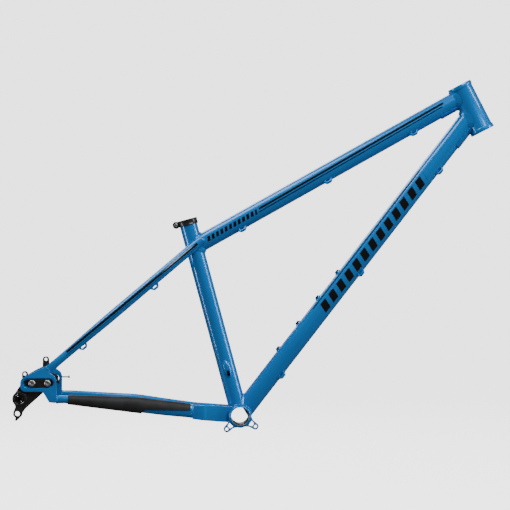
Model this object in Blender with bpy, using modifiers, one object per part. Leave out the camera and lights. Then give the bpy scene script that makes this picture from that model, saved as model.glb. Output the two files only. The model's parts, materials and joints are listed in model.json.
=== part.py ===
"""Steel hardtail mountain-bike frame with sliding rear dropouts.

Metres, +Z up. The origin is the centre of the bottom bracket, +X points to the front of the
bicycle and the drive side (the rider's right) is -Y. Every tube, plate and fastener is its own
closed body; neighbours keep a small gap where the real ones are welded or pressed together.
"""

import math

import bmesh
import bpy
from mathutils import Matrix, Vector

# --------------------------------------------------------------------------- driving dimensions
GAP = 0.0003                    # clearance kept between neighbouring bodies
WELD = 0.00001                  # merge distance for coincident points
MARGIN = 0.002                  # how far a cutter runs past the face that it cuts

# frame geometry, in the attitude in which the frame is stored
HEAD_ANGLE = 62.7               # degrees from the horizontal
SEAT_ANGLE = 74.9
REACH = 0.4365                  # bottom bracket to the top of the head tube
STACK = 0.6553
HEAD_LENGTH = 0.1034
SEAT_LENGTH = 0.402             # bottom bracket to the top of the seat collar
TOP_TUBE_DROP = 0.0229          # tube axes below the top of the head tube, along its axis
DOWN_TUBE_DROP = 0.0616
TOP_TUBE_RISE = 0.3459          # where the top tube's axis meets the seat tube's
AXLE_X = -0.429
AXLE_Z = 0.0381

# tubes: outer radius and wall
HEAD_BORE = 0.02198             # for a 44 mm headset
HEAD_TUBE_R = 0.0233
HEAD_RING_R = 0.0248
HEAD_RING_HEIGHT = 0.0068
TOP_TUBE_R = 0.01745
DOWN_TUBE_R = 0.01905
SEAT_TUBE_R = 0.01745
SEAT_BORE = 0.0158              # for a 31.6 mm seatpost
WALL = 0.0011
TUBE_SIDES = 32

# bottom bracket shell
SHELL_WIDTH = 0.073
SHELL_R = 0.0200
SHELL_BORE = 0.0174
DRAIN_R = 0.0066                # opening from the shell into the down tube

# rear triangle: (x, distance from the centre plane, z, height, width) from the dropout forwards
CHAINSTAY = (
    (-0.3567, 0.0835, 0.0369, 0.0153, 0.0100),
    (-0.3380, 0.0820, 0.0369, 0.0153, 0.0140),
    (-0.3000, 0.0775, 0.0335, 0.0187, 0.0150),
    (-0.2500, 0.0690, 0.0288, 0.0232, 0.0155),
    (-0.2060, 0.0600, 0.0247, 0.0272, 0.0160),
    (-0.1500, 0.0490, 0.0172, 0.0275, 0.0160),
    (-0.0945, 0.0420, 0.0107, 0.0262, 0.0160),
)
LEFT_CHAINSTAY_FRONT = (
    (-0.0600, 0.0370, 0.0082, 0.0262, 0.0160),
    (-0.0160, 0.0290, 0.0055, 0.0262, 0.0160),
)
SEATSTAY_FOOT = (-0.3740, 0.0946)     # side view, x and z
SEATSTAY_TIP = (-0.0750, 0.3482)
# (share of the way up, distance from the centre plane, height, width)
SEATSTAY = (
    (0.002, 0.0850, 0.0155, 0.0070),
    (0.06, 0.0825, 0.0155, 0.0125),
    (0.16, 0.0775, 0.0160, 0.0160),
    (0.37, 0.0680, 0.0190, 0.0190),
    (0.58, 0.0570, 0.0190, 0.0190),
    (0.74, 0.0440, 0.0190, 0.0190),
    (0.86, 0.0290, 0.0190, 0.0190),
    (0.94, 0.0200, 0.0190, 0.0190),
    (1.00, 0.0175, 0.0150, 0.0160),
)
STAY_SIDES = 14
STAY_WALL = 0.0012
YOKE_THICK = 0.006
YOKE_REAR_Y = 0.0400            # the yoke plate's mid-plane behind and ahead of its bend
YOKE_FRONT_Y = 0.0215
YOKE_BEND_X = -0.0700
YOKE_DROP = 0.0016              # the plate's middle below the chainstay's
BRIDGE_R = 0.0070
CHAINSTAY_BRIDGE = (-0.0480, 0.0080)
SEATSTAY_BRIDGE_SHARE = 0.745

# sliding dropouts: distances of the faces from the centre plane
SLIDER_IN = 0.0740              # half of the 148 mm hub
SLIDER_OUT = 0.0810
BOSS_OUT = 0.0830
HOOD_IN = SLIDER_OUT + GAP
HOOD_OUT = 0.0883
LEDGE = 0.0855                  # floor of the recess in the hood
KEY_OUT = 0.0852
SLOT_Z = 0.0689
BOLT_X = (-0.4045, -0.3745)
TRAVEL_BACK = 0.0100
TRAVEL_FRONT = 0.0050
KEY_R = 0.0060
CLAMP_R = 0.0088
RECESS_R = 0.0092
BOLT_R = 0.0039
BOLT_HOLE_R = 0.00425
BOLT_HEAD_R = 0.0065
ADJUSTER_R = 0.0015
ADJUSTER_HOLE_R = 0.0019
ADJUSTER_Y = 0.0840
ADJUSTER_NECKS = {-1: -0.3546, 1: -0.3448}      # underside of each side's screw head
ADJUSTER_HEAD_R = 0.0030
ADJUSTER_Z = 0.0714
AXLE_R = 0.0060
AXLE_NUT_R = 0.0095
BOSS_R = 0.0143
HANGER_HOLE = (-0.4333, 0.0094)
HANGER_HOLE_R = 0.0048
BRAKE_TABS = ((-0.4318, 0.0775), (-0.3893, 0.1072))
BRAKE_HOLE_R = 0.0031
PAD_RISE = 0.0006               # raised seats round the hanger's and the brake's holes
HANGER_PAD_R = 0.0074
BRAKE_PAD_R = 0.0054

# side views: (x, z, corner radius)
HOOD_OUTLINE = (
    (-0.4275, 0.0762, 0.012), (-0.4085, 0.0870, 0.020), (-0.3793, 0.1008, 0),
    (-0.3691, 0.0885, 0.002), (-0.3600, 0.0815, 0.006), (-0.3573, 0.0745, 0.006),
    (-0.3573, 0.0300, 0.003), (-0.3715, 0.0315, 0.004), (-0.3835, 0.0520, 0.006),
    (-0.4275, 0.0522, 0.0110),
)
SLIDER_BAR = (
    (-0.3645, 0.0790, 0.0095), (-0.3645, 0.0595, 0.0095), (-0.3830, 0.0525, 0.006),
    (-0.3900, 0.0442, 0.010),
)
SLIDER_RIGHT_OUTLINE = SLIDER_BAR + (
    (-0.4175, 0.0192, 0.006), (-0.4232, 0.0115, 0.006), (-0.4248, 0.0048, 0.004),
    (-0.4355, -0.0052, 0.0015), (-0.4385, -0.0028, 0.0010), (-0.4366, 0.0012, 0.0016),
    (-0.4418, 0.0065, 0.0045), (-0.4412, 0.0125, 0.0045), (-0.4370, 0.0230, 0.006),
    (-0.4448, 0.0385, 0.010), (-0.4270, 0.0660, 0.006), (-0.4255, 0.0790, 0.008),
)
SLIDER_LEFT_OUTLINE = SLIDER_BAR + (
    (-0.4150, 0.0218, 0.013), (-0.4435, 0.0218, 0.0135), (-0.4435, 0.0480, 0.012),
    (-0.4372, 0.0690, 0.010), (-0.4376, 0.0834, 0.0056), (-0.4260, 0.0835, 0.0058), (-0.4250, 0.0745, 0.003),
    (-0.3960, 0.0850, 0.004), (-0.3955, 0.1132, 0.0056), (-0.3834, 0.1132, 0.0058),
    (-0.3825, 0.0985, 0.005), (-0.3790, 0.0790, 0.004),
)

# small parts
ISCG_RADIUS = 0.0365
ISCG_ANGLES = (224.4, 326.4)
ISCG_RING_R = 0.0236
ISCG_EAR_R = 0.0059
ISCG_HOLE_R = 0.0031
ISCG_Y = (0.0280, 0.0335)
# one ear about its own direction: (radius, degrees, corner radius)
ISCG_EAR_ROOTS = ((0.0226, 34.0, 0.0), (0.0262, 17.0, 0.010))
ISCG_WINDOW = ((0.0246, 13.0, 0.0010), (0.0312, 5.5, 0.0010))
COLLAR_HEIGHT = 0.0118
COLLAR_R = 0.0203
COLLAR_LUG = 0.0236             # lug's centre behind the seat tube's axis
COLLAR_LUG_R = 0.0072
COLLAR_LUG_WIDTH = 0.0190
COLLAR_SLIT = 0.0030
BOTTLE_PITCH = 0.064
BOTTLE_FIRST = 0.1508           # along the down tube's axis from the bottom bracket
BOTTLE_COUNT = 4
GUIDE_LENGTH = 0.0180
GUIDE_HEIGHT = 0.0072
GUIDE_WIDTH = 0.0060
GUIDE_TURN = 35.0               # degrees from straight down towards the drive side
TOP_GUIDES = (0.1005, 0.2955, 0.4905)      # along the top tube from the seat tube's axis
DOWN_GUIDES = (0.1140, 0.3700, 0.6260)     # along the down tube from the bottom bracket
STAY_GUIDES = (0.207, 0.668)               # shares of the way up the drive-side seatstay
PORT_RISE = 0.0870              # cable port's slot along the seat tube
DOWN_GUSSET_START = 0.6850
TOP_GUSSET_START = 0.5535
BOSS_BARREL_R = 0.0043          # bottle bosses
BOSS_FLANGE_R = 0.0062
BOSS_HOLE_R = 0.0048
PROTECTOR_ENDS = (-0.3355, -0.0990)
PROTECTOR_STEP_X = -0.1930      # where the sleeve narrows to a strip
STRIP_Z = (0.0150, 0.0130)      # lower edge of the strip, rear and front

HEAD_UP = Vector((-math.cos(math.radians(HEAD_ANGLE)), 0, math.sin(math.radians(HEAD_ANGLE))))
SEAT_UP = Vector((-math.cos(math.radians(SEAT_ANGLE)), 0, math.sin(math.radians(SEAT_ANGLE))))
HEAD_TOP = Vector((REACH, 0, STACK))
HEAD_BOTTOM = HEAD_TOP - HEAD_UP * HEAD_LENGTH
TOP_REAR = SEAT_UP * TOP_TUBE_RISE
TOP_FRONT = HEAD_TOP - HEAD_UP * TOP_TUBE_DROP
TOP_ALONG = (TOP_FRONT - TOP_REAR).normalized()
DOWN_FRONT = HEAD_TOP - HEAD_UP * DOWN_TUBE_DROP
DOWN_ALONG = DOWN_FRONT.normalized()
DRIVE = -1                      # side factors for Y
LEFT = 1


# --------------------------------------------------------------------------- scene and materials
def clear_scene():
    for item in list(bpy.data.objects):
        bpy.data.objects.remove(item, do_unlink=True)


def make_collection(name):
    collection = bpy.data.collections.new(name)
    bpy.context.scene.collection.children.link(collection)
    return collection


def make_material(name, colour, roughness, metallic):
    material = bpy.data.materials.new(name)
    material.use_nodes = True
    shader = material.node_tree.nodes["Principled BSDF"]
    shader.inputs["Base Color"].default_value = (*colour, 1.0)
    shader.inputs["Roughness"].default_value = roughness
    shader.inputs["Metallic"].default_value = metallic
    return material


clear_scene()
PARTS = make_collection("bicycle_frame")
CUTTERS = make_collection("cutters")
BLUE = make_material("blue_paint", (0.012, 0.150, 0.370), 0.25, 0.0)
BLACK = make_material("black_anodised", (0.020, 0.020, 0.022), 0.35, 0.6)
STEEL = make_material("polished_steel", (0.55, 0.55, 0.56), 0.25, 1.0)
DARK_STEEL = make_material("black_steel", (0.035, 0.035, 0.038), 0.35, 0.8)
RUBBER = make_material("black_rubber", (0.018, 0.018, 0.020), 0.75, 0.0)


# --------------------------------------------------------------------------- modelling helpers
def basis(x_axis, y_axis, origin):
    """A matrix whose local X and Y run along two perpendicular directions from an origin."""
    x_axis = Vector(x_axis).normalized()
    y_axis = Vector(y_axis).normalized()
    z_axis = x_axis.cross(y_axis)
    matrix = Matrix((x_axis, y_axis, z_axis)).transposed().to_4x4()
    matrix.translation = Vector(origin)
    return matrix


def along(direction, origin):
    """A matrix whose local Z runs along a direction."""
    z_axis = Vector(direction).normalized()
    side = Vector((0, 1, 0)) if abs(z_axis.y) < 0.9 else Vector((0, 0, 1))
    x_axis = side.cross(z_axis).normalized()
    return basis(x_axis, z_axis.cross(x_axis), origin)


def side_view(y):
    """A matrix whose local X and Y are the frame's X and Z, at a distance from the centre."""
    return basis((1, 0, 0), (0, 0, 1), (0, y, 0))


def add_object(name, mesh, matrix, material):
    thing = bpy.data.objects.new(name, mesh)
    thing.matrix_world = matrix
    if material is None:
        CUTTERS.objects.link(thing)
        thing.hide_render = True
        thing.display_type = 'WIRE'
    else:
        PARTS.objects.link(thing)
        mesh.materials.append(material)
        mesh.shade_smooth()
        mesh.set_sharp_from_angle(angle=math.radians(35))
    return thing


def close_shape(shape, mesh):
    """Turns the faces of a closed shape outwards and writes it into its mesh."""
    bmesh.ops.recalc_face_normals(shape, faces=shape.faces)
    if shape.calc_volume(signed=True) < 0:
        bmesh.ops.reverse_faces(shape, faces=shape.faces)
    shape.to_mesh(mesh)
    shape.free()


def turned(name, profile, matrix, material, sides=TUBE_SIDES):
    """Revolves (radius, height) points about local Z. They run down the outer side first;
    a profile that starts and ends off the axis closes into a ring."""
    mesh = bpy.data.meshes.new(name)
    shape = bmesh.new()
    points = [shape.verts.new((radius, 0, height)) for radius, height in profile]
    for first, second in zip(points, points[1:]):
        shape.edges.new((first, second))
    if profile[0][0] > 0:
        shape.edges.new((points[-1], points[0]))
    shape.to_mesh(mesh)
    shape.free()
    thing = add_object(name, mesh, matrix, material)
    screw = thing.modifiers.new("Turn", 'SCREW')
    screw.axis = 'Z'
    screw.steps = sides
    screw.render_steps = sides
    screw.use_merge_vertices = True
    screw.merge_threshold = WELD
    return thing


def rod(name, start, end, radius, material=None, sides=TUBE_SIDES):
    """A plain solid cylinder between two points; without a material it is a cutter."""
    start, end = Vector(start), Vector(end)
    mesh = bpy.data.meshes.new(name)
    shape = bmesh.new()
    bmesh.ops.create_cone(shape, cap_ends=True, segments=sides, radius1=radius,
                          radius2=radius, depth=(end - start).length)
    shape.to_mesh(mesh)
    shape.free()
    return add_object(name, mesh, along(end - start, (start + end) / 2), material)


def pipe(name, start, end, outer, inner, material, sides=TUBE_SIDES):
    start, end = Vector(start), Vector(end)
    length = (end - start).length
    profile = ((outer, length), (outer, 0), (inner, 0), (inner, length))
    return turned(name, profile, along(end - start, start), material, sides)


def cut(thing, *cutters):
    for cutter in cutters:
        modifier = thing.modifiers.new("Cut " + cutter.name, 'BOOLEAN')
        modifier.operation = 'DIFFERENCE'
        modifier.solver = 'EXACT'
        modifier.object = cutter
    return thing


def join(thing, *others):
    for other in others:
        modifier = thing.modifiers.new("Join " + other.name, 'BOOLEAN')
        modifier.operation = 'UNION'
        modifier.solver = 'EXACT'
        modifier.object = other
    return thing


def rounded(corners, sides_per_turn=20):
    """Turns (x, y, radius) corners into an outline whose corners are arcs of that radius."""
    points = []
    count = len(corners)
    for index, (x, y, radius) in enumerate(corners):
        corner = Vector((x, y))
        before = (Vector(corners[index - 1][:2]) - corner).normalized()
        after = (Vector(corners[(index + 1) % count][:2]) - corner).normalized()
        half = before.angle(after) / 2
        if radius <= 0:
            points.append(corner)
            continue
        centre = corner + (before + after).normalized() * (radius / math.sin(half))
        first = corner + before * (radius / math.tan(half)) - centre
        turn = math.pi - 2 * half
        sign = 1 if before.x * after.y - before.y * after.x < 0 else -1
        steps = max(2, round(sides_per_turn * turn / (2 * math.pi)))
        for step in range(steps + 1):
            angle = sign * turn * step / steps
            points.append(centre + Matrix.Rotation(angle, 2) @ first)
    return points


def circle(x, y, radius, sides=24):
    return [Vector((x + radius * math.cos(2 * math.pi * step / sides),
                    y + radius * math.sin(2 * math.pi * step / sides)))
            for step in range(sides)]


def stadium(x_start, x_end, y, radius, sides=12):
    """A slot's outline along local X between the extreme ends given."""
    points = []
    for centre, first in ((x_end - radius, -90), (x_start + radius, 90)):
        for step in range(sides + 1):
            angle = math.radians(first + 180 * step / sides)
            points.append(Vector((centre + radius * math.cos(angle),
                                  y + radius * math.sin(angle))))
    return points


def plate(name, outlines, thickness, matrix, material=None):
    """Extrudes flat outlines, the first outside and the rest holes, as one mesh object."""
    curve = bpy.data.curves.new(name, 'CURVE')
    curve.dimensions = '2D'
    curve.fill_mode = 'BOTH'
    curve.extrude = thickness / 2
    for outline in outlines:
        spline = curve.splines.new('POLY')
        spline.points.add(len(outline) - 1)
        for point, place in zip(spline.points, outline):
            point.co = (place[0], place[1], 0, 1)
        spline.use_cyclic_u = True
    source = bpy.data.objects.new(name + "_outline", curve)
    bpy.context.scene.collection.objects.link(source)
    depsgraph = bpy.context.evaluated_depsgraph_get()
    mesh = bpy.data.meshes.new_from_object(source.evaluated_get(depsgraph))
    bpy.data.objects.remove(source, do_unlink=True)
    shape = bmesh.new()
    shape.from_mesh(mesh)
    bmesh.ops.remove_doubles(shape, verts=shape.verts, dist=WELD)
    close_shape(shape, mesh)
    mesh.name = name
    return add_object(name, mesh, matrix, material)


def smooth(stations, steps):
    """Catmull-Rom points through the stations, every value of a station alike."""
    rows = [Vector(station) for station in stations]
    rows = [rows[0] * 2 - rows[1]] + rows + [rows[-1] * 2 - rows[-2]]
    result = []
    for index in range(1, len(rows) - 2):
        before, start, end, after = rows[index - 1:index + 3]
        for step in range(steps):
            t = step / steps
            result.append(0.5 * (2 * start + (end - before) * t
                                 + (2 * before - 5 * start + 4 * end - after) * t ** 2
                                 + (3 * start - before - 3 * end + after) * t ** 3))
    result.append(rows[-2])
    return result


def section_rings(rows, side, grow=0.0, angles=None):
    """Rings of points round a stay. A row holds x, distance from the centre, z, height and
    width; angles, in degrees, go from the outer side over the top."""
    centres = [Vector((row[0], side * row[1], row[2])) for row in rows]
    rings = []
    for index, row in enumerate(rows):
        before = centres[max(index - 1, 0)]
        after = centres[min(index + 1, len(rows) - 1)]
        forward = (after - before).normalized()
        outward = forward.cross(Vector((0, 0, 1))).normalized()
        if outward.y * side < 0:
            outward.negate()
        up = Vector((0, 0, 1)) - forward * forward.z
        up.normalize()
        spread = angles[index] if angles else [
            360 * step / STAY_SIDES for step in range(STAY_SIDES)]
        rings.append([centres[index]
                      + outward * (row[4] / 2 + grow) * math.cos(math.radians(angle))
                      + up * (row[3] / 2 + grow) * math.sin(math.radians(angle))
                      for angle in spread])
    return rings


def skin(name, outer, inner, closed, material, closed_tip=False):
    """A wall between outer and inner rings, lofted along a stay. A closed wall is a tube; an
    open one is a channel with two lips. With a closed tip the last rings are capped."""
    mesh = bpy.data.meshes.new(name)
    shape = bmesh.new()
    outer = [[shape.verts.new(point) for point in ring] for ring in outer]
    inner = [[shape.verts.new(point) for point in ring] for ring in inner]
    count = len(outer[0])
    spans = range(count if closed else count - 1)
    for rings in (outer, inner):
        for ring, following in zip(rings, rings[1:]):
            for index in spans:
                following_index = (index + 1) % count
                shape.faces.new((ring[index], ring[following_index],
                                 following[following_index], following[index]))
    ends = [(outer[0], inner[0])]
    if closed_tip:
        shape.faces.new(outer[-1])
        shape.faces.new(inner[-1])
    else:
        ends.append((outer[-1], inner[-1]))
    for outside, inside in ends:
        for index in spans:
            following_index = (index + 1) % count
            shape.faces.new((outside[index], outside[following_index],
                             inside[following_index], inside[index]))
    if not closed:
        for index in (0, count - 1):
            for place in range(len(outer) - 1):
                shape.faces.new((outer[place][index], outer[place + 1][index],
                                 inner[place + 1][index], inner[place][index]))
    close_shape(shape, mesh)
    return add_object(name, mesh, Matrix.Identity(4), material)


# --------------------------------------------------------------------------- cutters of the tubes
def tube_cutter(name, start, end, radius):
    return rod(name, start, end, radius + GAP)


def head_cutter():
    """The space of the head tube and its two thicker end rings."""
    ring, tube = HEAD_RING_R + GAP, HEAD_TUBE_R + GAP
    step = ring - tube
    low, high = HEAD_RING_HEIGHT + GAP, HEAD_LENGTH - HEAD_RING_HEIGHT - GAP
    profile = ((0, HEAD_LENGTH + MARGIN), (ring, HEAD_LENGTH + MARGIN), (ring, high),
               (tube, high - step), (tube, low + step), (ring, low), (ring, -MARGIN),
               (0, -MARGIN))
    return turned("head_tube_space", profile, along(HEAD_UP, HEAD_BOTTOM), None)


HEAD_CUT = head_cutter()
SEAT_CUT = tube_cutter("seat_tube_space", Vector((0, 0, 0)), SEAT_UP * 0.45, SEAT_TUBE_R)
TOP_CUT = tube_cutter("top_tube_space", TOP_REAR, TOP_FRONT, TOP_TUBE_R)
DOWN_CUT = tube_cutter("down_tube_space", Vector((0, 0, 0)), DOWN_FRONT, DOWN_TUBE_R)
SHELL_CUT = tube_cutter("shell_space", (0, -0.05, 0), (0, 0.05, 0), SHELL_R)


# --------------------------------------------------------------------------- main tubes
def head_tube():
    ring = HEAD_RING_HEIGHT
    step = HEAD_RING_R - HEAD_TUBE_R
    profile = ((HEAD_RING_R, HEAD_LENGTH), (HEAD_RING_R, HEAD_LENGTH - ring),
               (HEAD_TUBE_R, HEAD_LENGTH - ring - step), (HEAD_TUBE_R, ring + step),
               (HEAD_RING_R, ring), (HEAD_RING_R, 0), (HEAD_BORE, 0), (HEAD_BORE, HEAD_LENGTH))
    turned("head_tube", profile, along(HEAD_UP, HEAD_BOTTOM), BLUE)


def top_tube():
    tube = pipe("top_tube", TOP_REAR, TOP_FRONT, TOP_TUBE_R, TOP_TUBE_R - WALL, BLUE)
    cut(tube, HEAD_CUT, SEAT_CUT)


def boss_centre(index):
    return DOWN_ALONG * (BOTTLE_FIRST + BOTTLE_PITCH * index)


DOWN_UP = DOWN_ALONG.cross(Vector((0, 1, 0)))      # upper side of the down tube


def down_tube():
    tube = pipe("down_tube", Vector((0, 0, 0)), DOWN_FRONT, DOWN_TUBE_R, DOWN_TUBE_R - WALL, BLUE)
    cut(tube, HEAD_CUT, SHELL_CUT)
    for index in range(BOTTLE_COUNT):
        centre = boss_centre(index)
        hole = rod(f"boss_hole_{index + 1}", centre, centre + DOWN_UP * 0.03,
                   BOSS_HOLE_R, sides=16)
        cut(tube, hole)


def seat_tube():
    top = SEAT_LENGTH - 0.0005
    tube = pipe("seat_tube", Vector((0, 0, 0)), SEAT_UP * top, SEAT_TUBE_R, SEAT_BORE, BLUE)
    behind = Vector((-SEAT_UP.z, 0, SEAT_UP.x))
    slit_low = SEAT_UP * (SEAT_LENGTH - 0.036)
    slit = plate("seat_slit", [stadium(0, 0.05, 0, COLLAR_SLIT / 2, 6)], 0.012,
                 basis(SEAT_UP, (0, 1, 0), slit_low + behind * SEAT_TUBE_R))
    cut(tube, SHELL_CUT, DOWN_CUT, slit, port_slot("seat_port_slot"))


def bottom_bracket_shell():
    half = SHELL_WIDTH / 2
    chamfer = 0.0008
    profile = ((SHELL_R - chamfer, half), (SHELL_R, half - chamfer), (SHELL_R, chamfer - half),
               (SHELL_R - chamfer, -half), (SHELL_BORE, -half), (SHELL_BORE, half))
    shell = turned("bottom_bracket_shell", profile, along((0, 1, 0), (0, 0, 0)), BLUE)
    drain = rod("drain_space", (0, 0, 0), DOWN_ALONG * 0.03, DRAIN_R, sides=16)
    cut(shell, drain)


# --------------------------------------------------------------------------- rear triangle
def chainstay_rows(stations):
    return smooth(stations, 2)


def hollow_stay(name, rows, side, closed_tip=False):
    outer = section_rings(rows, side)
    inner_rows = rows[:-1] if closed_tip else rows
    inner = section_rings(inner_rows, side, grow=-STAY_WALL)
    return skin(name, outer, inner, True, BLUE, closed_tip)


def chainstays():
    hollow_stay("chainstay_right", chainstay_rows(CHAINSTAY), DRIVE)
    left = hollow_stay("chainstay_left", chainstay_rows(CHAINSTAY + LEFT_CHAINSTAY_FRONT), LEFT)
    cut(left, SHELL_CUT)


def seatstay_rows():
    foot, tip = Vector(SEATSTAY_FOOT), Vector(SEATSTAY_TIP)
    stations = []
    for share, out, height, width in SEATSTAY:
        place = foot.lerp(tip, share)
        stations.append((place.x, out, place.y, height, width))
    return smooth(stations, 2)


def seatstays():
    for name, side in (("seatstay_right", DRIVE), ("seatstay_left", LEFT)):
        stay = hollow_stay(name, seatstay_rows(), side, closed_tip=True)
        cut(stay, SEAT_CUT, TOP_CUT)


def yoke_solid(name, half_thickness, material):
    """The bent plate's shape: two skins, one each side of a mid-plane that follows its bend."""
    rear, front = CHAINSTAY[-1], (-0.0150, 0.0043)
    slope = (front[1] - rear[2]) / (front[0] - rear[0])
    mesh = bpy.data.meshes.new(name)
    shape = bmesh.new()
    inner, outer = [], []
    places = ((rear[0] + 0.0028, 0.0282, YOKE_REAR_Y),
              (YOKE_BEND_X - 0.003, 0.0300, YOKE_REAR_Y - 0.001),
              (YOKE_BEND_X + 0.004, 0.0306, YOKE_REAR_Y - 0.0042), (-0.040, 0.0318, 0.0270),
              (-0.026, 0.0318, YOKE_FRONT_Y + 0.001), (front[0], 0.0318, YOKE_FRONT_Y - 0.001))
    for x, height, out in places:
        middle = rear[2] - YOKE_DROP + slope * (x - rear[0])
        for row, offset in ((inner, -half_thickness), (outer, half_thickness)):
            row.append([shape.verts.new((x, DRIVE * (out + offset), middle + height * share))
                        for share in (-0.5, 0.5)])
    for row in (inner, outer):
        for here, there in zip(row, row[1:]):
            shape.faces.new((here[0], here[1], there[1], there[0]))
    for edge in (0, 1):
        for index in range(len(places) - 1):
            shape.faces.new((inner[index][edge], outer[index][edge],
                             outer[index + 1][edge], inner[index + 1][edge]))
    for index in (0, -1):
        shape.faces.new((inner[index][0], inner[index][1], outer[index][1], outer[index][0]))
    close_shape(shape, mesh)
    return add_object(name, mesh, Matrix.Identity(4), material)


def yoke_plate():
    """The bent plate that carries the drive-side chainstay round the chainring."""
    yoke = cut(yoke_solid("chainstay_yoke_right", YOKE_THICK / 2, BLUE), SHELL_CUT)
    bevel = yoke.modifiers.new("Rounded edges", 'BEVEL')
    bevel.width = 0.0012
    bevel.segments = 2
    bevel.limit_method = 'ANGLE'
    bevel.angle_limit = math.radians(40)


def solid_stay(name, rows, side):
    """The space a stay takes, as a cutter."""
    rings = section_rings(rows, side, grow=GAP)
    mesh = bpy.data.meshes.new(name)
    shape = bmesh.new()
    rings = [[shape.verts.new(point) for point in ring] for ring in rings]
    count = STAY_SIDES
    for ring, following in zip(rings, rings[1:]):
        for index in range(count):
            shape.faces.new((ring[index], ring[(index + 1) % count],
                             following[(index + 1) % count], following[index]))
    shape.faces.new(rings[0])
    shape.faces.new(rings[-1])
    close_shape(shape, mesh)
    return add_object(name, mesh, Matrix.Identity(4), None)


def bridges():
    x, z = CHAINSTAY_BRIDGE
    low = pipe("chainstay_bridge", (x, -0.0280, z), (x, 0.0360, z), BRIDGE_R,
               BRIDGE_R - STAY_WALL, BLUE, sides=20)
    cut(low, yoke_solid("yoke_space", YOKE_THICK / 2 + GAP, None),
        solid_stay("left_chainstay_space", chainstay_rows(CHAINSTAY + LEFT_CHAINSTAY_FRONT),
                   LEFT))
    place = Vector(SEATSTAY_FOOT).lerp(Vector(SEATSTAY_TIP), SEATSTAY_BRIDGE_SHARE)
    high = pipe("seatstay_bridge", (place.x, -0.0435, place.y), (place.x, 0.0435, place.y),
                BRIDGE_R, BRIDGE_R - STAY_WALL, BLUE, sides=20)
    cut(high, solid_stay("right_seatstay_space", seatstay_rows(), DRIVE),
        solid_stay("left_seatstay_space", seatstay_rows(), LEFT))


def row_at(rows, x):
    """The row at a place along a stay, between the rows either side of it."""
    after = next(index for index, row in enumerate(rows) if row[0] >= x)
    start, end = rows[after - 1], rows[after]
    return start.lerp(end, (x - start[0]) / (end[0] - start[0]))


def ring_at(rows, rings, x):
    """The section at a place along a stay, on the straight lines between its own sections."""
    after = next(index for index, row in enumerate(rows) if row[0] >= x)
    share = (x - rows[after - 1][0]) / (rows[after][0] - rows[after - 1][0])
    return [start.lerp(end, share) for start, end in zip(rings[after - 1], rings[after])]


def chainstay_protector():
    """A rubber sleeve on the drive-side chainstay: it wraps the outer side of the rear part and
    goes on as a narrower strip along the top."""
    stay = chainstay_rows(CHAINSTAY)
    rear, front = PROTECTOR_ENDS
    places = [row[0] for row in stay if rear + 0.004 < row[0] < front - 0.004]
    angles = [[22 * step - 100 for step in range(11)]] * len(stay)
    skins = []
    for grow in (0.0019, 2 * GAP):
        rings = section_rings(stay, DRIVE, grow, angles)
        skins.append([ring_at(stay, rings, x) for x in sorted(places + [rear, front])])
    protector = skin("chainstay_protector", *skins, False, RUBBER)
    outline = ((PROTECTOR_STEP_X, -0.02), (front + 0.01, -0.02), (front + 0.01, STRIP_Z[1]),
               (PROTECTOR_STEP_X + 0.007, STRIP_Z[0]), (PROTECTOR_STEP_X, STRIP_Z[0] - 0.005))
    cut(protector, plate("below_strip", [outline], 0.06, side_view(DRIVE * 0.05)))


# --------------------------------------------------------------------------- sliding dropouts
BOLT_MID = sum(BOLT_X) / 2
KEY_HALF = (BOLT_X[1] - BOLT_X[0]) / 2 + KEY_R
CLAMP_HALF = 0.0220


def side_name(side):
    return "right" if side == DRIVE else "left"


def travel_stadium(half, radius):
    """Outline that a stadium of this half length sweeps over the whole travel, with play."""
    return stadium(BOLT_MID - half - TRAVEL_BACK - GAP, BOLT_MID + half + TRAVEL_FRONT + GAP,
                   SLOT_Z, radius)


def dropout_hood(side):
    name = side_name(side)
    thickness = HOOD_OUT - HOOD_IN
    hood = plate(f"dropout_hood_{name}", [rounded(HOOD_OUTLINE)], thickness,
                 side_view(side * (HOOD_IN + thickness / 2)), BLUE)
    recess_depth = HOOD_OUT - LEDGE + MARGIN
    recess = plate(f"recess_space_{name}", [travel_stadium(CLAMP_HALF, RECESS_R)], recess_depth,
                   side_view(side * (LEDGE + recess_depth / 2)))
    slot = plate(f"slot_space_{name}", [travel_stadium(KEY_HALF, KEY_R + GAP)], 0.02,
                 side_view(side * HOOD_IN))
    hole = rod(f"adjuster_space_{name}", (-0.370, side * ADJUSTER_Y, ADJUSTER_Z),
               (-0.350, side * ADJUSTER_Y, ADJUSTER_Z), ADJUSTER_HOLE_R, sides=12)
    cut(hood, recess, slot, hole)


def raised_pad(name, x, z, radius, hole_radius, face, side, rise):
    """A low ring that stands on one face of a slider, sunk a little into the plate."""
    sink = math.copysign(0.0005, rise)
    middle = face + (rise - sink) / 2
    return plate(name, [circle(x, z, radius, 24), circle(x, z, hole_radius, 20)],
                 abs(rise + sink), side_view(side * middle))


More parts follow.
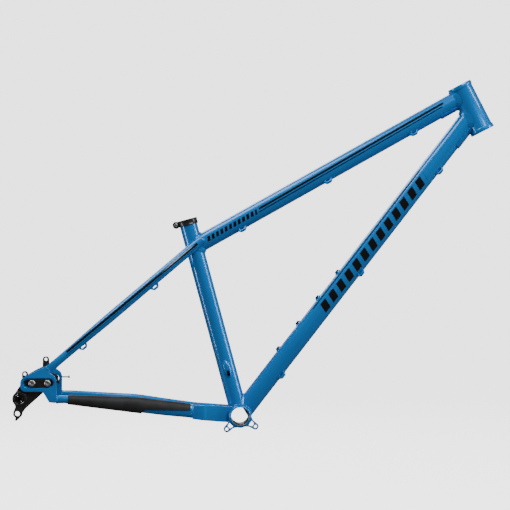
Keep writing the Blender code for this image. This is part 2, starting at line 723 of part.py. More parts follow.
def dropout_slider(side):
    name = side_name(side)
    outline = SLIDER_RIGHT_OUTLINE if side == DRIVE else SLIDER_LEFT_OUTLINE
    bore = AXLE_NUT_R + GAP if side == DRIVE else AXLE_R + GAP
    if side == DRIVE:
        holes = [circle(*HANGER_HOLE, HANGER_HOLE_R, 20)]
    else:
        holes = [circle(x, z, BRAKE_HOLE_R, 16) for x, z in BRAKE_TABS]
    thickness = SLIDER_OUT - SLIDER_IN
    slider = plate(f"dropout_slider_{name}", [rounded(outline)] + holes, thickness,
                   side_view(side * (SLIDER_IN + thickness / 2)), BLACK)
    boss = rod(f"boss_solid_{name}", (AXLE_X, side * (SLIDER_OUT - MARGIN), AXLE_Z),
               (AXLE_X, side * BOSS_OUT, AXLE_Z), BOSS_R, sides=24)
    key_depth = KEY_OUT - SLIDER_OUT + MARGIN
    key = plate(f"key_solid_{name}",
                [stadium(BOLT_MID - KEY_HALF, BOLT_MID + KEY_HALF, SLOT_Z, KEY_R)], key_depth,
                side_view(side * (KEY_OUT - key_depth / 2)))
    if side == DRIVE:
        pads = [raised_pad("hanger_pad", *HANGER_HOLE, HANGER_PAD_R, HANGER_HOLE_R, SLIDER_OUT,
                           DRIVE, PAD_RISE)]
    else:
        pads = [raised_pad(f"brake_pad_{index}", x, z, BRAKE_PAD_R, BRAKE_HOLE_R, SLIDER_IN,
                           LEFT, -PAD_RISE) for index, (x, z) in enumerate(BRAKE_TABS, 1)]
    join(slider, boss, key, *pads)
    spaces = [rod(f"bolt_space_{name}_{index}", (x, side * 0.07, SLOT_Z), (x, side * 0.09, SLOT_Z),
                  BOLT_HOLE_R, sides=16) for index, x in enumerate(BOLT_X)]
    spaces.append(rod(f"axle_space_{name}", (AXLE_X, side * 0.07, AXLE_Z),
                      (AXLE_X, side * 0.09, AXLE_Z), bore, sides=24))
    cut(slider, *spaces)


def clamp_plate(side):
    name = side_name(side)
    low, high = LEDGE + GAP, 0.0876
    holes = [circle(x, SLOT_Z, BOLT_HOLE_R, 16) for x in BOLT_X]
    plate(f"clamp_plate_{name}",
          [stadium(BOLT_MID - CLAMP_HALF, BOLT_MID + CLAMP_HALF, SLOT_Z, CLAMP_R)] + holes,
          high - low, side_view(side * (low + high) / 2), BLACK)


def socket_bolt(name, head_centre, direction, head_r, head_height, shank_r, shank_length,
                socket_r, material, sides=20):
    """A button-head bolt with a six-sided socket. Direction points from the head outwards."""
    matrix = along(direction, head_centre)
    edge = head_height * 0.45
    socket = head_height * 0.65
    profile = [(0, head_height), (head_r - edge, head_height), (head_r - edge * 0.3,
               head_height - edge * 0.4), (head_r, head_height - edge), (head_r, 0), (shank_r, 0),
               (shank_r, -shank_length), (0, -shank_length)]
    bolt = turned(name, profile, matrix, material, sides)
    start = Vector(head_centre) + Vector(direction).normalized() * (head_height - socket)
    cut(bolt, rod(name + "_socket", start, start + Vector(direction).normalized() * 0.02,
                  socket_r, sides=6))
    return bolt


def slider_bolts(side):
    for x, place in zip(BOLT_X, ("rear", "front")):
        socket_bolt(f"slider_bolt_{side_name(side)}_{place}", (x, side * 0.0879, SLOT_Z),
                    (0, side, 0), BOLT_HEAD_R, 0.0042, BOLT_R, 0.0120, 0.0029, STEEL)


def adjuster_screw(side):
    """The tension screw, threaded through the hood's front wall. Turned in, its tip pushes the
    slider's key back; here it is backed off to the front end of the slot."""
    tip = BOLT_MID + KEY_HALF + TRAVEL_FRONT + GAP
    neck = ADJUSTER_NECKS[side]
    head = ADJUSTER_HEAD_R
    profile = ((0, head + 0.0002), (head * 0.7, head), (head, head - 0.0009), (head, 0.0006),
               (head * 0.8, 0), (ADJUSTER_R, 0), (ADJUSTER_R, tip - neck), (0, tip - neck))
    turned(f"adjuster_screw_{side_name(side)}", profile,
           along((1, 0, 0), (neck, side * ADJUSTER_Y, ADJUSTER_Z)), DARK_STEEL, sides=16)


def thru_axle():
    """Head on the left, its threaded end shows in the drive-side boss."""
    head_in = BOSS_OUT + GAP
    head_out = head_in + 0.0050
    end = BOSS_OUT + 0.0004
    profile = ((0, head_out), (0.0088, head_out), (0.0098, head_out - 0.001),
               (0.0098, head_in), (AXLE_R, head_in), (AXLE_R, -end + 0.0006),
               (AXLE_R - 0.0006, -end), (0, -end))
    axle = turned("thru_axle", profile, along((0, 1, 0), (AXLE_X, 0, AXLE_Z)), DARK_STEEL,
                  sides=24)
    socket = rod("axle_socket", (AXLE_X, 0.0835, AXLE_Z), (AXLE_X, 0.1, AXLE_Z), 0.0034, sides=6)
    hollow = rod("axle_hollow", (AXLE_X, -0.07, AXLE_Z), (AXLE_X, -0.1, AXLE_Z), 0.0027, sides=12)
    cut(axle, socket, hollow)


def axle_nut():
    """The threaded insert that the axle screws into, flanged on the inner face."""
    low, high = SLIDER_IN + 0.0005, BOSS_OUT + 0.0002
    profile = ((AXLE_NUT_R, high - 0.0006), (AXLE_NUT_R, low), (AXLE_R + GAP, low),
               (AXLE_R + GAP, high), (AXLE_NUT_R - 0.0006, high))
    turned("axle_nut_right", profile, along((0, -1, 0), (AXLE_X, 0, AXLE_Z)), DARK_STEEL, sides=24)


# --------------------------------------------------------------------------- small parts
def polar(radius, angle):
    return Vector((radius * math.cos(math.radians(angle)), radius * math.sin(math.radians(angle))))


def ear_outline(angle):
    """An ear that grows out of the ring with hollow flanks, and the window between them."""
    outward = polar(1, angle)
    across = Vector((-outward.y, outward.x))
    centre = outward * ISCG_RADIUS
    low = [(*polar(radius, angle - turn), fillet) for radius, turn, fillet in ISCG_EAR_ROOTS]
    high = [(*polar(radius, angle + turn), fillet) for radius, turn, fillet in ISCG_EAR_ROOTS]
    tip = [(*(centre + (outward + across * side) * ISCG_EAR_R), ISCG_EAR_R * 0.97)
           for side in (-1, 1)]
    outline = low + tip + high[::-1] + [(*polar(0.0190, angle), 0)]
    window = [(*polar(radius, angle + turn * side), fillet) for side, pair in (
        (-1, ISCG_WINDOW), (1, ISCG_WINDOW[::-1])) for radius, turn, fillet in pair]
    return rounded(outline, 28), rounded(window, 12)


def iscg_plate():
    """Two chain-guide ears on a ring round the bottom bracket shell."""
    middle = (ISCG_Y[0] + ISCG_Y[1]) / 2
    thickness = ISCG_Y[1] - ISCG_Y[0]
    ring = plate("iscg_plate", [circle(0, 0, ISCG_RING_R, 32), circle(0, 0, SHELL_R - GAP, 32)],
                 thickness, side_view(-middle), BLUE)
    holes = []
    for index, angle in enumerate(ISCG_ANGLES, 1):
        outline, window = ear_outline(angle)
        centre = polar(ISCG_RADIUS, angle)
        join(ring, plate(f"ear_solid_{index}", [outline, window], thickness, side_view(-middle)))
        holes.append(rod(f"ear_hole_{index}", (centre.x, -0.02, centre.y),
                         (centre.x, -0.045, centre.y), ISCG_HOLE_R, sides=16))
    cut(ring, *holes, SHELL_CUT)


def seat_collar():
    """A split clamp ring whose lug faces the rear."""
    low = SEAT_LENGTH - COLLAR_HEIGHT
    chamfer = 0.0007
    profile = ((COLLAR_R - chamfer, COLLAR_HEIGHT), (COLLAR_R, COLLAR_HEIGHT - chamfer),
               (COLLAR_R, chamfer), (COLLAR_R - chamfer, 0), (SEAT_BORE, 0),
               (SEAT_BORE, COLLAR_HEIGHT))
    behind = Vector((-SEAT_UP.z, 0, SEAT_UP.x))
    collar = turned("seat_collar", profile, along(SEAT_UP, SEAT_UP * low), BLACK)
    middle = SEAT_UP * (low + COLLAR_HEIGHT / 2)
    half = COLLAR_HEIGHT / 2
    lug_outline = rounded(((0.0150, half - 0.0004, 0), (0.0150, 0.0004 - half, 0),
                           (COLLAR_LUG, -COLLAR_LUG_R + 0.0008, 0.0004),
                           (COLLAR_LUG + COLLAR_LUG_R, -COLLAR_LUG_R, COLLAR_LUG_R * 0.97),
                           (COLLAR_LUG + COLLAR_LUG_R, COLLAR_LUG_R, COLLAR_LUG_R * 0.97),
                           (COLLAR_LUG, COLLAR_LUG_R - 0.0008, 0.0004)))
    ear_width = (COLLAR_LUG_WIDTH - COLLAR_SLIT) / 2
    ears = [plate(f"collar_ear_{side_name(side)}", [lug_outline], ear_width,
                  basis(behind, SEAT_UP, middle
                        + Vector((0, side * (COLLAR_SLIT + ear_width) / 2, 0))))
            for side in (DRIVE, LEFT)]
    slit = plate("collar_slit", [[(0.014, -0.02), (0.05, -0.02), (0.05, 0.02), (0.014, 0.02)]],
                 COLLAR_SLIT, basis(behind, SEAT_UP, middle))
    centre = middle + behind * COLLAR_LUG
    side = Vector((0, 1, 0))
    hole = rod("collar_bolt_space", centre - side * 0.02, centre + side * 0.02, 0.0029, sides=16)
    seat = rod("collar_head_space", centre - side * 0.02, centre - side * 0.0065, 0.0046, sides=20)
    nut = rod("collar_nut_space", centre + side * 0.0065, centre + side * 0.02, 0.0046, sides=20)
    bore = rod("collar_bore_space", SEAT_UP * 0.38, SEAT_UP * 0.42, SEAT_TUBE_R + GAP)
    cut(collar, slit)
    join(collar, *ears)
    cut(collar, bore, hole, seat, nut)
    socket_bolt("collar_bolt", centre - side * 0.0068, (0, -1, 0), 0.0042, 0.0040, 0.0024,
                0.0158, 0.0019, STEEL, sides=16)
    nut_profile = ((0.0042, 0.0030), (0.0042, 0), (0.0027, 0), (0.0027, 0.0030))
    turned("collar_nut", nut_profile, along((0, 1, 0), centre + side * 0.0068), STEEL, sides=16)


def bottle_bosses():
    """Threaded inserts on the upper side of the down tube, each closed by its bolt."""
    for index in range(BOTTLE_COUNT):
        centre = boss_centre(index)
        base = centre + DOWN_UP * DOWN_TUBE_R
        number = index + 1
        top = 0.0018
        profile = ((BOSS_FLANGE_R - 0.0006, top), (BOSS_FLANGE_R, top - 0.0006),
                   (BOSS_FLANGE_R, -0.0015), (BOSS_BARREL_R, -0.0015), (BOSS_BARREL_R, -0.0090),
                   (0.0028, -0.0090), (0.0028, top))
        boss = turned(f"bottle_boss_{number}", profile, along(DOWN_UP, base), BLUE, sides=16)
        flange_space = pipe(f"flange_space_{number}", centre - DOWN_ALONG * 0.02,
                            centre + DOWN_ALONG * 0.02, DOWN_TUBE_R + GAP, DOWN_TUBE_R - 0.003,
                            None)
        barrel = rod(f"barrel_keep_{number}", base - DOWN_UP * 0.02, base + DOWN_UP * 0.02,
                     BOSS_BARREL_R + 0.0001, sides=16)
        modifier = flange_space.modifiers.new("Around the barrel", 'BOOLEAN')
        modifier.operation = 'DIFFERENCE'
        modifier.solver = 'EXACT'
        modifier.object = barrel
        cut(boss, flange_space)
        socket_bolt(f"bottle_bolt_{number}", base + DOWN_UP * (top + GAP), DOWN_UP, 0.0046,
                    0.0026, 0.0024, 0.0120, 0.0015, DARK_STEEL, sides=16)


def cable_guide(name, base, tangent, outward, tube_space):
    """A small bridge brazed to a tube; the hose lies against it and a tie goes under it."""
    half, foot, clear = GUIDE_LENGTH / 2, 0.0045, 0.0033
    low = -0.0030
    outline = ((-half, low, 0), (-half, GUIDE_HEIGHT * 0.30, 0.002),
               (-half * 0.52, GUIDE_HEIGHT, 0.003), (half * 0.52, GUIDE_HEIGHT, 0.003),
               (half, GUIDE_HEIGHT * 0.30, 0.002), (half, low, 0), (foot, low, 0),
               (foot, clear, 0.001), (-foot, clear, 0.001), (-foot, low, 0))
    guide = plate(name, [rounded(outline, 16)], GUIDE_WIDTH, basis(tangent, outward, base), BLUE)
    cut(guide, tube_space)
    # the hose's channel along the bridge's crown
    channel = rod(name + "_channel", base + outward * (GUIDE_HEIGHT + 0.0021) - tangent * 0.03,
                  base + outward * (GUIDE_HEIGHT + 0.0021) + tangent * 0.03, 0.0026, sides=12)
    cut(guide, channel)


def turned_down(tangent):
    """Outward direction on a tube's underside, turned towards the drive side."""
    down = tangent.cross(Vector((0, 1, 0)))
    if down.z > 0:
        down.negate()
    turn = math.radians(GUIDE_TURN)
    return (down * math.cos(turn) + Vector((0, DRIVE, 0)) * math.sin(turn)).normalized()


def cable_guides():
    for number, distance in enumerate(TOP_GUIDES, 1):
        outward = turned_down(TOP_ALONG)
        cable_guide(f"top_tube_guide_{number}", TOP_REAR + TOP_ALONG * distance
                    + outward * TOP_TUBE_R, TOP_ALONG, outward, TOP_CUT)
    for number, distance in enumerate(DOWN_GUIDES, 1):
        outward = turned_down(DOWN_ALONG)
        cable_guide(f"down_tube_guide_{number}", DOWN_ALONG * distance + outward * DOWN_TUBE_R,
                    DOWN_ALONG, outward, DOWN_CUT)
    rows = seatstay_rows()
    stay_space = solid_stay("guide_seatstay_space", rows, DRIVE)
    foot, tip = Vector(SEATSTAY_FOOT), Vector(SEATSTAY_TIP)
    for number, share in enumerate(STAY_GUIDES, 1):
        place = foot.lerp(tip, share)
        row = row_at(rows, place.x)
        before, after = row_at(rows, place.x - 0.02), row_at(rows, place.x + 0.02)
        tangent = Vector((after[0] - before[0], DRIVE * (after[1] - before[1]),
                          after[2] - before[2])).normalized()
        down = (Vector((0, 0, -1)) + tangent * tangent.z).normalized()
        centre = Vector((place.x, DRIVE * row[1], place.y))
        cable_guide(f"seatstay_guide_{number}", centre + down * row[3] / 2, tangent, down,
                    stay_space)


def port_slot(name):
    centre = SEAT_UP * PORT_RISE + Vector((0, DRIVE * SEAT_TUBE_R, 0))
    forward = Vector((SEAT_UP.z, 0, -SEAT_UP.x))
    return plate(name, [stadium(-0.0060, 0.0060, 0, 0.0028, 6)], 0.030,
                 basis(SEAT_UP, forward, centre))


def cable_port():
    """A teardrop cover over the hole where a hose enters the seat tube."""
    mesh = bpy.data.meshes.new("cable_port")
    shape = bmesh.new()
    bmesh.ops.create_uvsphere(shape, u_segments=24, v_segments=12, radius=1.0)
    bmesh.ops.scale(shape, vec=(0.0078, 0.0060, 0.0190), verts=shape.verts)
    shape.to_mesh(mesh)
    shape.free()
    centre = SEAT_UP * (PORT_RISE + 0.0085) + Vector((0, DRIVE * (SEAT_TUBE_R - 0.0020), 0))
    forward = Vector((SEAT_UP.z, 0, -SEAT_UP.x))
    cover = add_object("cable_port", mesh, basis(forward, SEAT_UP.cross(forward), centre), BLUE)
    cut(cover, SEAT_CUT, port_slot("cover_slot"))


def gusset(name, start, length, tangent, outward, radius, spread):
    """A thin curved plate that thickens a tube's underside next to the head tube."""
    thick = 0.0022
    steps = 10
    points = []
    for r, order in ((radius + GAP, 1), (radius + GAP + thick, -1)):
        for step in range(steps + 1):
            angle = math.radians(order * spread * (step / steps - 0.5))
            points.append((r * math.cos(angle), r * math.sin(angle)))
    across = tangent.cross(outward)
    middle = start + tangent * length / 2
    piece = plate(name, [points], length, basis(outward, across, middle), BLUE)
    cut(piece, HEAD_CUT)
    return piece


def gussets():
    down_under = -DOWN_UP
    start = DOWN_ALONG * DOWN_GUSSET_START
    gusset("down_tube_gusset", start, 0.060, DOWN_ALONG, down_under, DOWN_TUBE_R, 110)
    top_under = TOP_ALONG.cross(Vector((0, 1, 0)))
    if top_under.z > 0:
        top_under.negate()
    start = TOP_REAR + TOP_ALONG * TOP_GUSSET_START
    gusset("top_tube_gusset", start, 0.050, TOP_ALONG, top_under, TOP_TUBE_R, 90)


def build():
    head_tube()
    top_tube()
    down_tube()
    seat_tube()
    bottom_bracket_shell()
    chainstays()
    seatstays()
    yoke_plate()
    bridges()
    chainstay_protector()
    for side in (DRIVE, LEFT):
        dropout_hood(side)
        dropout_slider(side)
        clamp_plate(side)
        slider_bolts(side)
        adjuster_screw(side)
    thru_axle()
    axle_nut()
    iscg_plate()
    seat_collar()
    bottle_bosses()
    cable_guides()
    cable_port()
    gussets()


build()
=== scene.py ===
"""Looks for the steel hardtail frame: smooth tubes, weld beads, paint, graphics and fittings.

Metres, +Z up, +X to the front; the drive side is -Y. Every piece rides on a body of the frame.
"""

import json
import math
from functools import reduce

import bmesh
import bpy
from mathutils import Matrix, Vector


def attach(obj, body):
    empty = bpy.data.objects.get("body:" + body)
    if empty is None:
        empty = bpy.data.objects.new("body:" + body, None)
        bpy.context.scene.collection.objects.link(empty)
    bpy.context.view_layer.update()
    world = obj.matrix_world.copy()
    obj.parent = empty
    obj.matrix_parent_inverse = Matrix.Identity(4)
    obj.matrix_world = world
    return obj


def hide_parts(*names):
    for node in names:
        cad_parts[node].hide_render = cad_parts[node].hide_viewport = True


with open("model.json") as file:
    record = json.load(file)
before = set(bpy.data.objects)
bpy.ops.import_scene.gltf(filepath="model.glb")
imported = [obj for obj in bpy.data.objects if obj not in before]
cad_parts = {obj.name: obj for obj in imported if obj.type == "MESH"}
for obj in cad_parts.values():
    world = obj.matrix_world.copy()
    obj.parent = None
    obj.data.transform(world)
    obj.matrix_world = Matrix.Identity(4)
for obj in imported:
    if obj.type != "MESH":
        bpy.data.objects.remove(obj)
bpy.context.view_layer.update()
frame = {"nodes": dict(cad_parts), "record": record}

# --------------------------------------------------------------------------- driving dimensions
HEAD_ANGLE = 62.7               # degrees from the horizontal
SEAT_ANGLE = 74.9
HEAD_TOP = Vector((0.4365, 0, 0.6553))
HEAD_LENGTH = 0.1034
SEAT_LENGTH = 0.402
TOP_TUBE_DROP = 0.0229          # tube axes below the top of the head tube
DOWN_TUBE_DROP = 0.0616
TOP_TUBE_RISE = 0.3459
AXLE = Vector((-0.429, 0, 0.0381))
HEAD_BORE = 0.02198
HEAD_TUBE_R = 0.0233
HEAD_RING_R = 0.0248
HEAD_RING_HEIGHT = 0.0068
TUBE_R = 0.01745                # top tube and seat tube
DOWN_TUBE_R = 0.01905
SEAT_BORE = 0.0158
SLIT_LENGTH = 0.036             # the slit behind the seat tube's top, closed by the collar
SLIT_HALF = 0.0015
SHELL_HALF = 0.0365
SHELL_R = 0.0200
SHELL_BORE = 0.0174
GAP = 0.0003                    # between parts that move or bolt together
OVERLAP = 0.0002                # how far a welded part reaches into its neighbour
DRIVE = -1
LEFT = 1

HEAD_UP = Vector((-math.cos(math.radians(HEAD_ANGLE)), 0, math.sin(math.radians(HEAD_ANGLE))))
SEAT_UP = Vector((-math.cos(math.radians(SEAT_ANGLE)), 0, math.sin(math.radians(SEAT_ANGLE))))
SIDE = Vector((0, 1, 0))
CENTRE = Vector((0, 0, 0))
BEHIND = Vector((-SEAT_UP.z, 0, SEAT_UP.x))
HEAD_BOTTOM = HEAD_TOP - HEAD_UP * HEAD_LENGTH
TOP_REAR = SEAT_UP * TOP_TUBE_RISE
TOP_FRONT = HEAD_TOP - HEAD_UP * TOP_TUBE_DROP
TOP_ALONG = (TOP_FRONT - TOP_REAR).normalized()
TOP_UP = TOP_ALONG.cross(SIDE) * (1 if TOP_ALONG.cross(SIDE).z > 0 else -1)
DOWN_FRONT = HEAD_TOP - HEAD_UP * DOWN_TUBE_DROP
DOWN_ALONG = DOWN_FRONT.normalized()
DOWN_UP = DOWN_ALONG.cross(SIDE) * (1 if DOWN_ALONG.cross(SIDE).z > 0 else -1)
ROUND = 96                      # sides of a large round piece
SMALL = 48
SHARP_ANGLE = 35                # degrees; edges sharper than this stay sharp in the shading


# --------------------------------------------------------------------------- mesh helpers
def linked(name, data):
    """An object with this data, in the scene."""
    thing = bpy.data.objects.new(name, data)
    bpy.context.scene.collection.objects.link(thing)
    return thing


def to_mesh(name, shape):
    """Turns a closed bmesh into a mesh whose faces look outwards."""
    bmesh.ops.recalc_face_normals(shape, faces=shape.faces)
    if shape.calc_volume(signed=True) < 0:
        bmesh.ops.reverse_faces(shape, faces=shape.faces)
    mesh = bpy.data.meshes.new(name)
    shape.to_mesh(mesh)
    shape.free()
    return mesh


def shade(mesh):
    mesh.shade_smooth()
    mesh.set_sharp_from_angle(angle=math.radians(SHARP_ANGLE))


def show(name, shape, body, material, slot, *nodes):
    """Makes a piece from a bmesh, gives it its body and material, and hides the nodes. Its slot is
    not used.
    """
    mesh = to_mesh(name, shape)
    mesh.materials.append(material)
    shade(mesh)
    thing = linked(name, mesh)
    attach(thing, body)
    if nodes:
        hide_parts(*nodes)
    return thing


def painted(name, shape, *nodes):
    """A piece of the frame in plain blue paint."""
    return show(name, shape, "frame", BLUE, "blue_paint", *nodes)


def blackened(name, shape, body, *nodes):
    """A black anodised piece."""
    return show(name, shape, body, BLACK, "black_anodised", *nodes)


def grid(rings, loop=False, shape=None):
    """Joins closed rings of points with quads. A loop joins its last ring to its first;
    otherwise the two ends are capped."""
    shape = shape or bmesh.new()
    rows = [[shape.verts.new(point) for point in ring] for ring in rings]
    pairs = list(zip(rows, rows[1:]))
    if loop:
        pairs.append((rows[-1], rows[0]))
    for low, high in pairs:
        count = len(low)
        for index in range(count):
            following = (index + 1) % count
            shape.faces.new((low[index], low[following], high[following], high[index]))
    if not loop:
        shape.faces.new(rows[0])
        shape.faces.new(rows[-1])
    return shape


def across(direction):
    """Two unit vectors square to a direction."""
    direction = Vector(direction).normalized()
    side = SIDE if abs(direction.y) < 0.9 else Vector((0, 0, 1))
    first = side.cross(direction).normalized()
    return first, direction.cross(first)


def spokes(direction, sides=ROUND):
    """Unit vectors square to a direction, evenly round it."""
    first, second = across(direction)
    turns = [2 * math.pi * step / sides for step in range(sides)]
    return [first * math.cos(turn) + second * math.sin(turn) for turn in turns]


def turned(profile, origin, direction, sides=ROUND):
    """Revolves (radius, height) points. A profile that starts on the axis is capped flat."""
    direction, origin = Vector(direction).normalized(), Vector(origin)
    spread = spokes(direction, sides)
    rings = [[origin + direction * height + spoke * radius for spoke in spread]
             for radius, height in profile if radius > 0]
    return grid(rings, profile[0][0] > 0)


def rod(radius, start, end, origin, direction, sides=SMALL):
    """A solid cylinder between two distances along a direction."""
    return turned(((0, end), (radius, end), (radius, start), (0, start)), origin, direction,
                  sides)


def rounded(corners, sides_per_turn=72):
    """Turns (x, y, radius) corners into an outline whose corners are arcs of that radius."""
    points = []
    count = len(corners)
    for index, (x, y, radius) in enumerate(corners):
        corner = Vector((x, y))
        before = (Vector(corners[index - 1][:2]) - corner).normalized()
        after = (Vector(corners[(index + 1) % count][:2]) - corner).normalized()
        if radius <= 0:
            points.append(corner)
            continue
        half = before.angle(after) / 2
        centre = corner + (before + after).normalized() * (radius / math.sin(half))
        first = corner + before * (radius / math.tan(half)) - centre
        turn = math.pi - 2 * half
        sign = 1 if before.x * after.y - before.y * after.x < 0 else -1
        steps = max(2, round(sides_per_turn * turn / (2 * math.pi)))
        for step in range(steps + 1):
            points.append(centre + Matrix.Rotation(sign * turn * step / steps, 2) @ first)
    return points


def circle(x, y, radius, sides=SMALL):
    return [Vector((x + radius * math.cos(2 * math.pi * step / sides),
                    y + radius * math.sin(2 * math.pi * step / sides))) for step in range(sides)]


def stadium(x_start, x_end, y, radius, sides=24):
    points = []
    for centre, first in ((x_end - radius, -90), (x_start + radius, 90)):
        for step in range(sides + 1):
            angle = math.radians(first + 180 * step / sides)
            points.append(Vector((centre + radius * math.cos(angle),
                                  y + radius * math.sin(angle))))
    return points


def placed(x_axis, y_axis, origin):
    """A matrix whose local X and Y run along two directions from an origin."""
    x_axis, y_axis = Vector(x_axis).normalized(), Vector(y_axis).normalized()
    matrix = Matrix((x_axis, y_axis, x_axis.cross(y_axis))).transposed().to_4x4()
    matrix.translation = Vector(origin)
    return matrix


def side_view(y):
    return placed((1, 0, 0), (0, 0, 1), (0, y, 0))


def plate(outlines, thickness, matrix, edge=0.0005):
    """A flat plate with rounded edges, the first outline outside and the rest holes."""
    curve = bpy.data.curves.new("plate", 'CURVE')
    curve.dimensions = '2D'
    curve.fill_mode = 'BOTH'
    curve.extrude = thickness / 2 - edge
    curve.bevel_depth = edge
    curve.offset = -edge
    curve.bevel_resolution = 2
    for outline in outlines:
        spline = curve.splines.new('POLY')
        spline.points.add(len(outline) - 1)
        for point, place in zip(spline.points, outline):
            point.co = (place[0], place[1], 0, 1)
        spline.use_cyclic_u = True
    source = linked("plate", curve)
    mesh = bpy.data.meshes.new_from_object(
        source.evaluated_get(bpy.context.evaluated_depsgraph_get()))
    bpy.data.objects.remove(source, do_unlink=True)
    shape = bmesh.new()
    shape.from_mesh(mesh)
    bpy.data.meshes.remove(mesh)
    bmesh.ops.remove_doubles(shape, verts=shape.verts, dist=0.00001)
    bmesh.ops.transform(shape, matrix=matrix, verts=shape.verts)
    return shape


def cut(thing, other_shape):
    """Cuts a piece with a closed shape and keeps the result in its mesh."""
    tool = linked("tool", to_mesh("tool", other_shape))
    modifier = thing.modifiers.new("Cut", 'BOOLEAN')
    modifier.operation = 'DIFFERENCE'
    modifier.solver = 'EXACT'
    modifier.object = tool
    result = bpy.data.meshes.new_from_object(
        thing.evaluated_get(bpy.context.evaluated_depsgraph_get()))
    thing.modifiers.clear()
    thing.data = result
    bpy.data.objects.remove(tool, do_unlink=True)
    shade(result)


def smooth(stations, steps):
    """Catmull-Rom points through the stations, every value of a station alike."""
    rows = [Vector(station) for station in stations]
    rows = [rows[0] * 2 - rows[1]] + rows + [rows[-1] * 2 - rows[-2]]
    result = []
    for index in range(1, len(rows) - 2):
        before, start, end, after = rows[index - 1:index + 3]
        for step in range(steps):
            t = step / steps
            result.append(0.5 * (2 * start + (end - before) * t
                                 + (2 * before - 5 * start + 4 * end - after) * t ** 2
                                 + (3 * start - before - 3 * end + after) * t ** 3))
    result.append(rows[-2])
    return result


# --------------------------------------------------------------------------- materials
class Nodes:
    """Small helper that adds nodes to a new material and links them."""

    def __init__(self, name, colour, metallic, roughness):
        self.material = bpy.data.materials.new(name)
        self.material.use_nodes = True
        self.tree = self.material.node_tree
        self.shader = self.tree.nodes["Principled BSDF"]
        self.shader.inputs["Base Color"].default_value = (*colour, 1)
        self.shader.inputs["Metallic"].default_value = metallic
        self.shader.inputs["Roughness"].default_value = roughness
        self.place = self.tree.nodes.new("ShaderNodeTexCoord").outputs["Object"]

    def put(self, socket, value):
        if isinstance(value, bpy.types.NodeSocket):
            self.tree.links.new(value, socket)
        else:
            socket.default_value = value

    def math(self, operation, *values):
        node = self.tree.nodes.new("ShaderNodeMath")
        node.operation = operation
        for socket, value in zip(node.inputs, values):
            self.put(socket, value)
        return node.outputs[0]

    def dot(self, direction, origin):
        """Distance of the shaded point along a direction from an origin."""
        node = self.tree.nodes.new("ShaderNodeVectorMath")
        node.operation = 'DOT_PRODUCT'
        self.put(node.inputs[0], self.place)
        node.inputs[1].default_value = direction
        return self.math('SUBTRACT', node.outputs["Value"], Vector(origin).dot(direction))

    def noise(self, scale, detail=2.0, stretch=None):
        node = self.tree.nodes.new("ShaderNodeTexNoise")
        node.inputs["Scale"].default_value = scale
        node.inputs["Detail"].default_value = detail
        source = self.place
        if stretch:
            mapping = self.tree.nodes.new("ShaderNodeMapping")
            mapping.inputs["Scale"].default_value = stretch
            self.put(mapping.inputs["Vector"], source)
            source = mapping.outputs["Vector"]
        self.put(node.inputs["Vector"], source)
        return node.outputs["Fac"]

    def remap(self, value, low, high, to_low, to_high):
        node = self.tree.nodes.new("ShaderNodeMapRange")
        self.put(node.inputs["Value"], value)
        for name, number in (("From Min", low), ("From Max", high), ("To Min", to_low),
                             ("To Max", to_high)):
            node.inputs[name].default_value = number
        return node.outputs["Result"]

    def mix(self, share, first, second):
        node = self.tree.nodes.new("ShaderNodeMix")
        node.data_type = 'RGBA'
        self.put(node.inputs["Factor"], share)
        colours = [socket for socket in node.inputs if socket.type == 'RGBA']
        for socket, value in zip(colours, (first, second)):
            self.put(socket, value if isinstance(value, bpy.types.NodeSocket) else (*value, 1))
        return next(socket for socket in node.outputs if socket.type == 'RGBA')

    def bump(self, height, strength, distance, before=None):
        node = self.tree.nodes.new("ShaderNodeBump")
        node.inputs["Strength"].default_value = strength
        node.inputs["Distance"].default_value = distance
        self.put(node.inputs["Height"], height)
        if before is not None:
            self.put(node.inputs["Normal"], before)
        return node.outputs["Normal"]

    def finish(self, **sockets):
        for name, value in sockets.items():
            self.put(self.shader.inputs[name.replace("_", " ")], value)
        return self.material


BLUE_LIGHT = (0.0140, 0.2550, 0.7400)
BLUE_DEEP = (0.0070, 0.1800, 0.5600)
GRAPHIC_BLACK = (0.0035, 0.0032, 0.0036)
PAINT_METAL = 0.35              # how metallic the paint is


def near(nodes, value, middle, width):
    return nodes.math('LESS_THAN', nodes.math(
        'ABSOLUTE', nodes.math('SUBTRACT', value, middle)), width / 2)


def within(nodes, value, start, end):
    return nodes.math('MULTIPLY', nodes.math('GREATER_THAN', value, start),
                      nodes.math('LESS_THAN', value, end))


def stripe_mask(nodes, distance, height, start, end, low, slope, width):
    """A band along a tube, whose middle is at a height that may rise along it."""
    middle = nodes.math('MULTIPLY_ADD', distance, slope, low - slope * start)
    return nodes.math('MULTIPLY', near(nodes, height, middle, width),
                      within(nodes, distance, start, end))


def hatch_mask(nodes, distance, height, start, end, middle, width, pitch, share, slant):
    """A row of equal slanted bars along a tube."""
    leaned = nodes.math('MULTIPLY_ADD', height, -slant, distance)
    turns = nodes.math('FRACT', nodes.math('DIVIDE', nodes.math('SUBTRACT', leaned, start), pitch))
    bars = nodes.math('LESS_THAN', turns, share)
    return nodes.math('MULTIPLY', nodes.math('MULTIPLY', bars, near(nodes, height, middle, width)),
                      within(nodes, leaned, start, end))


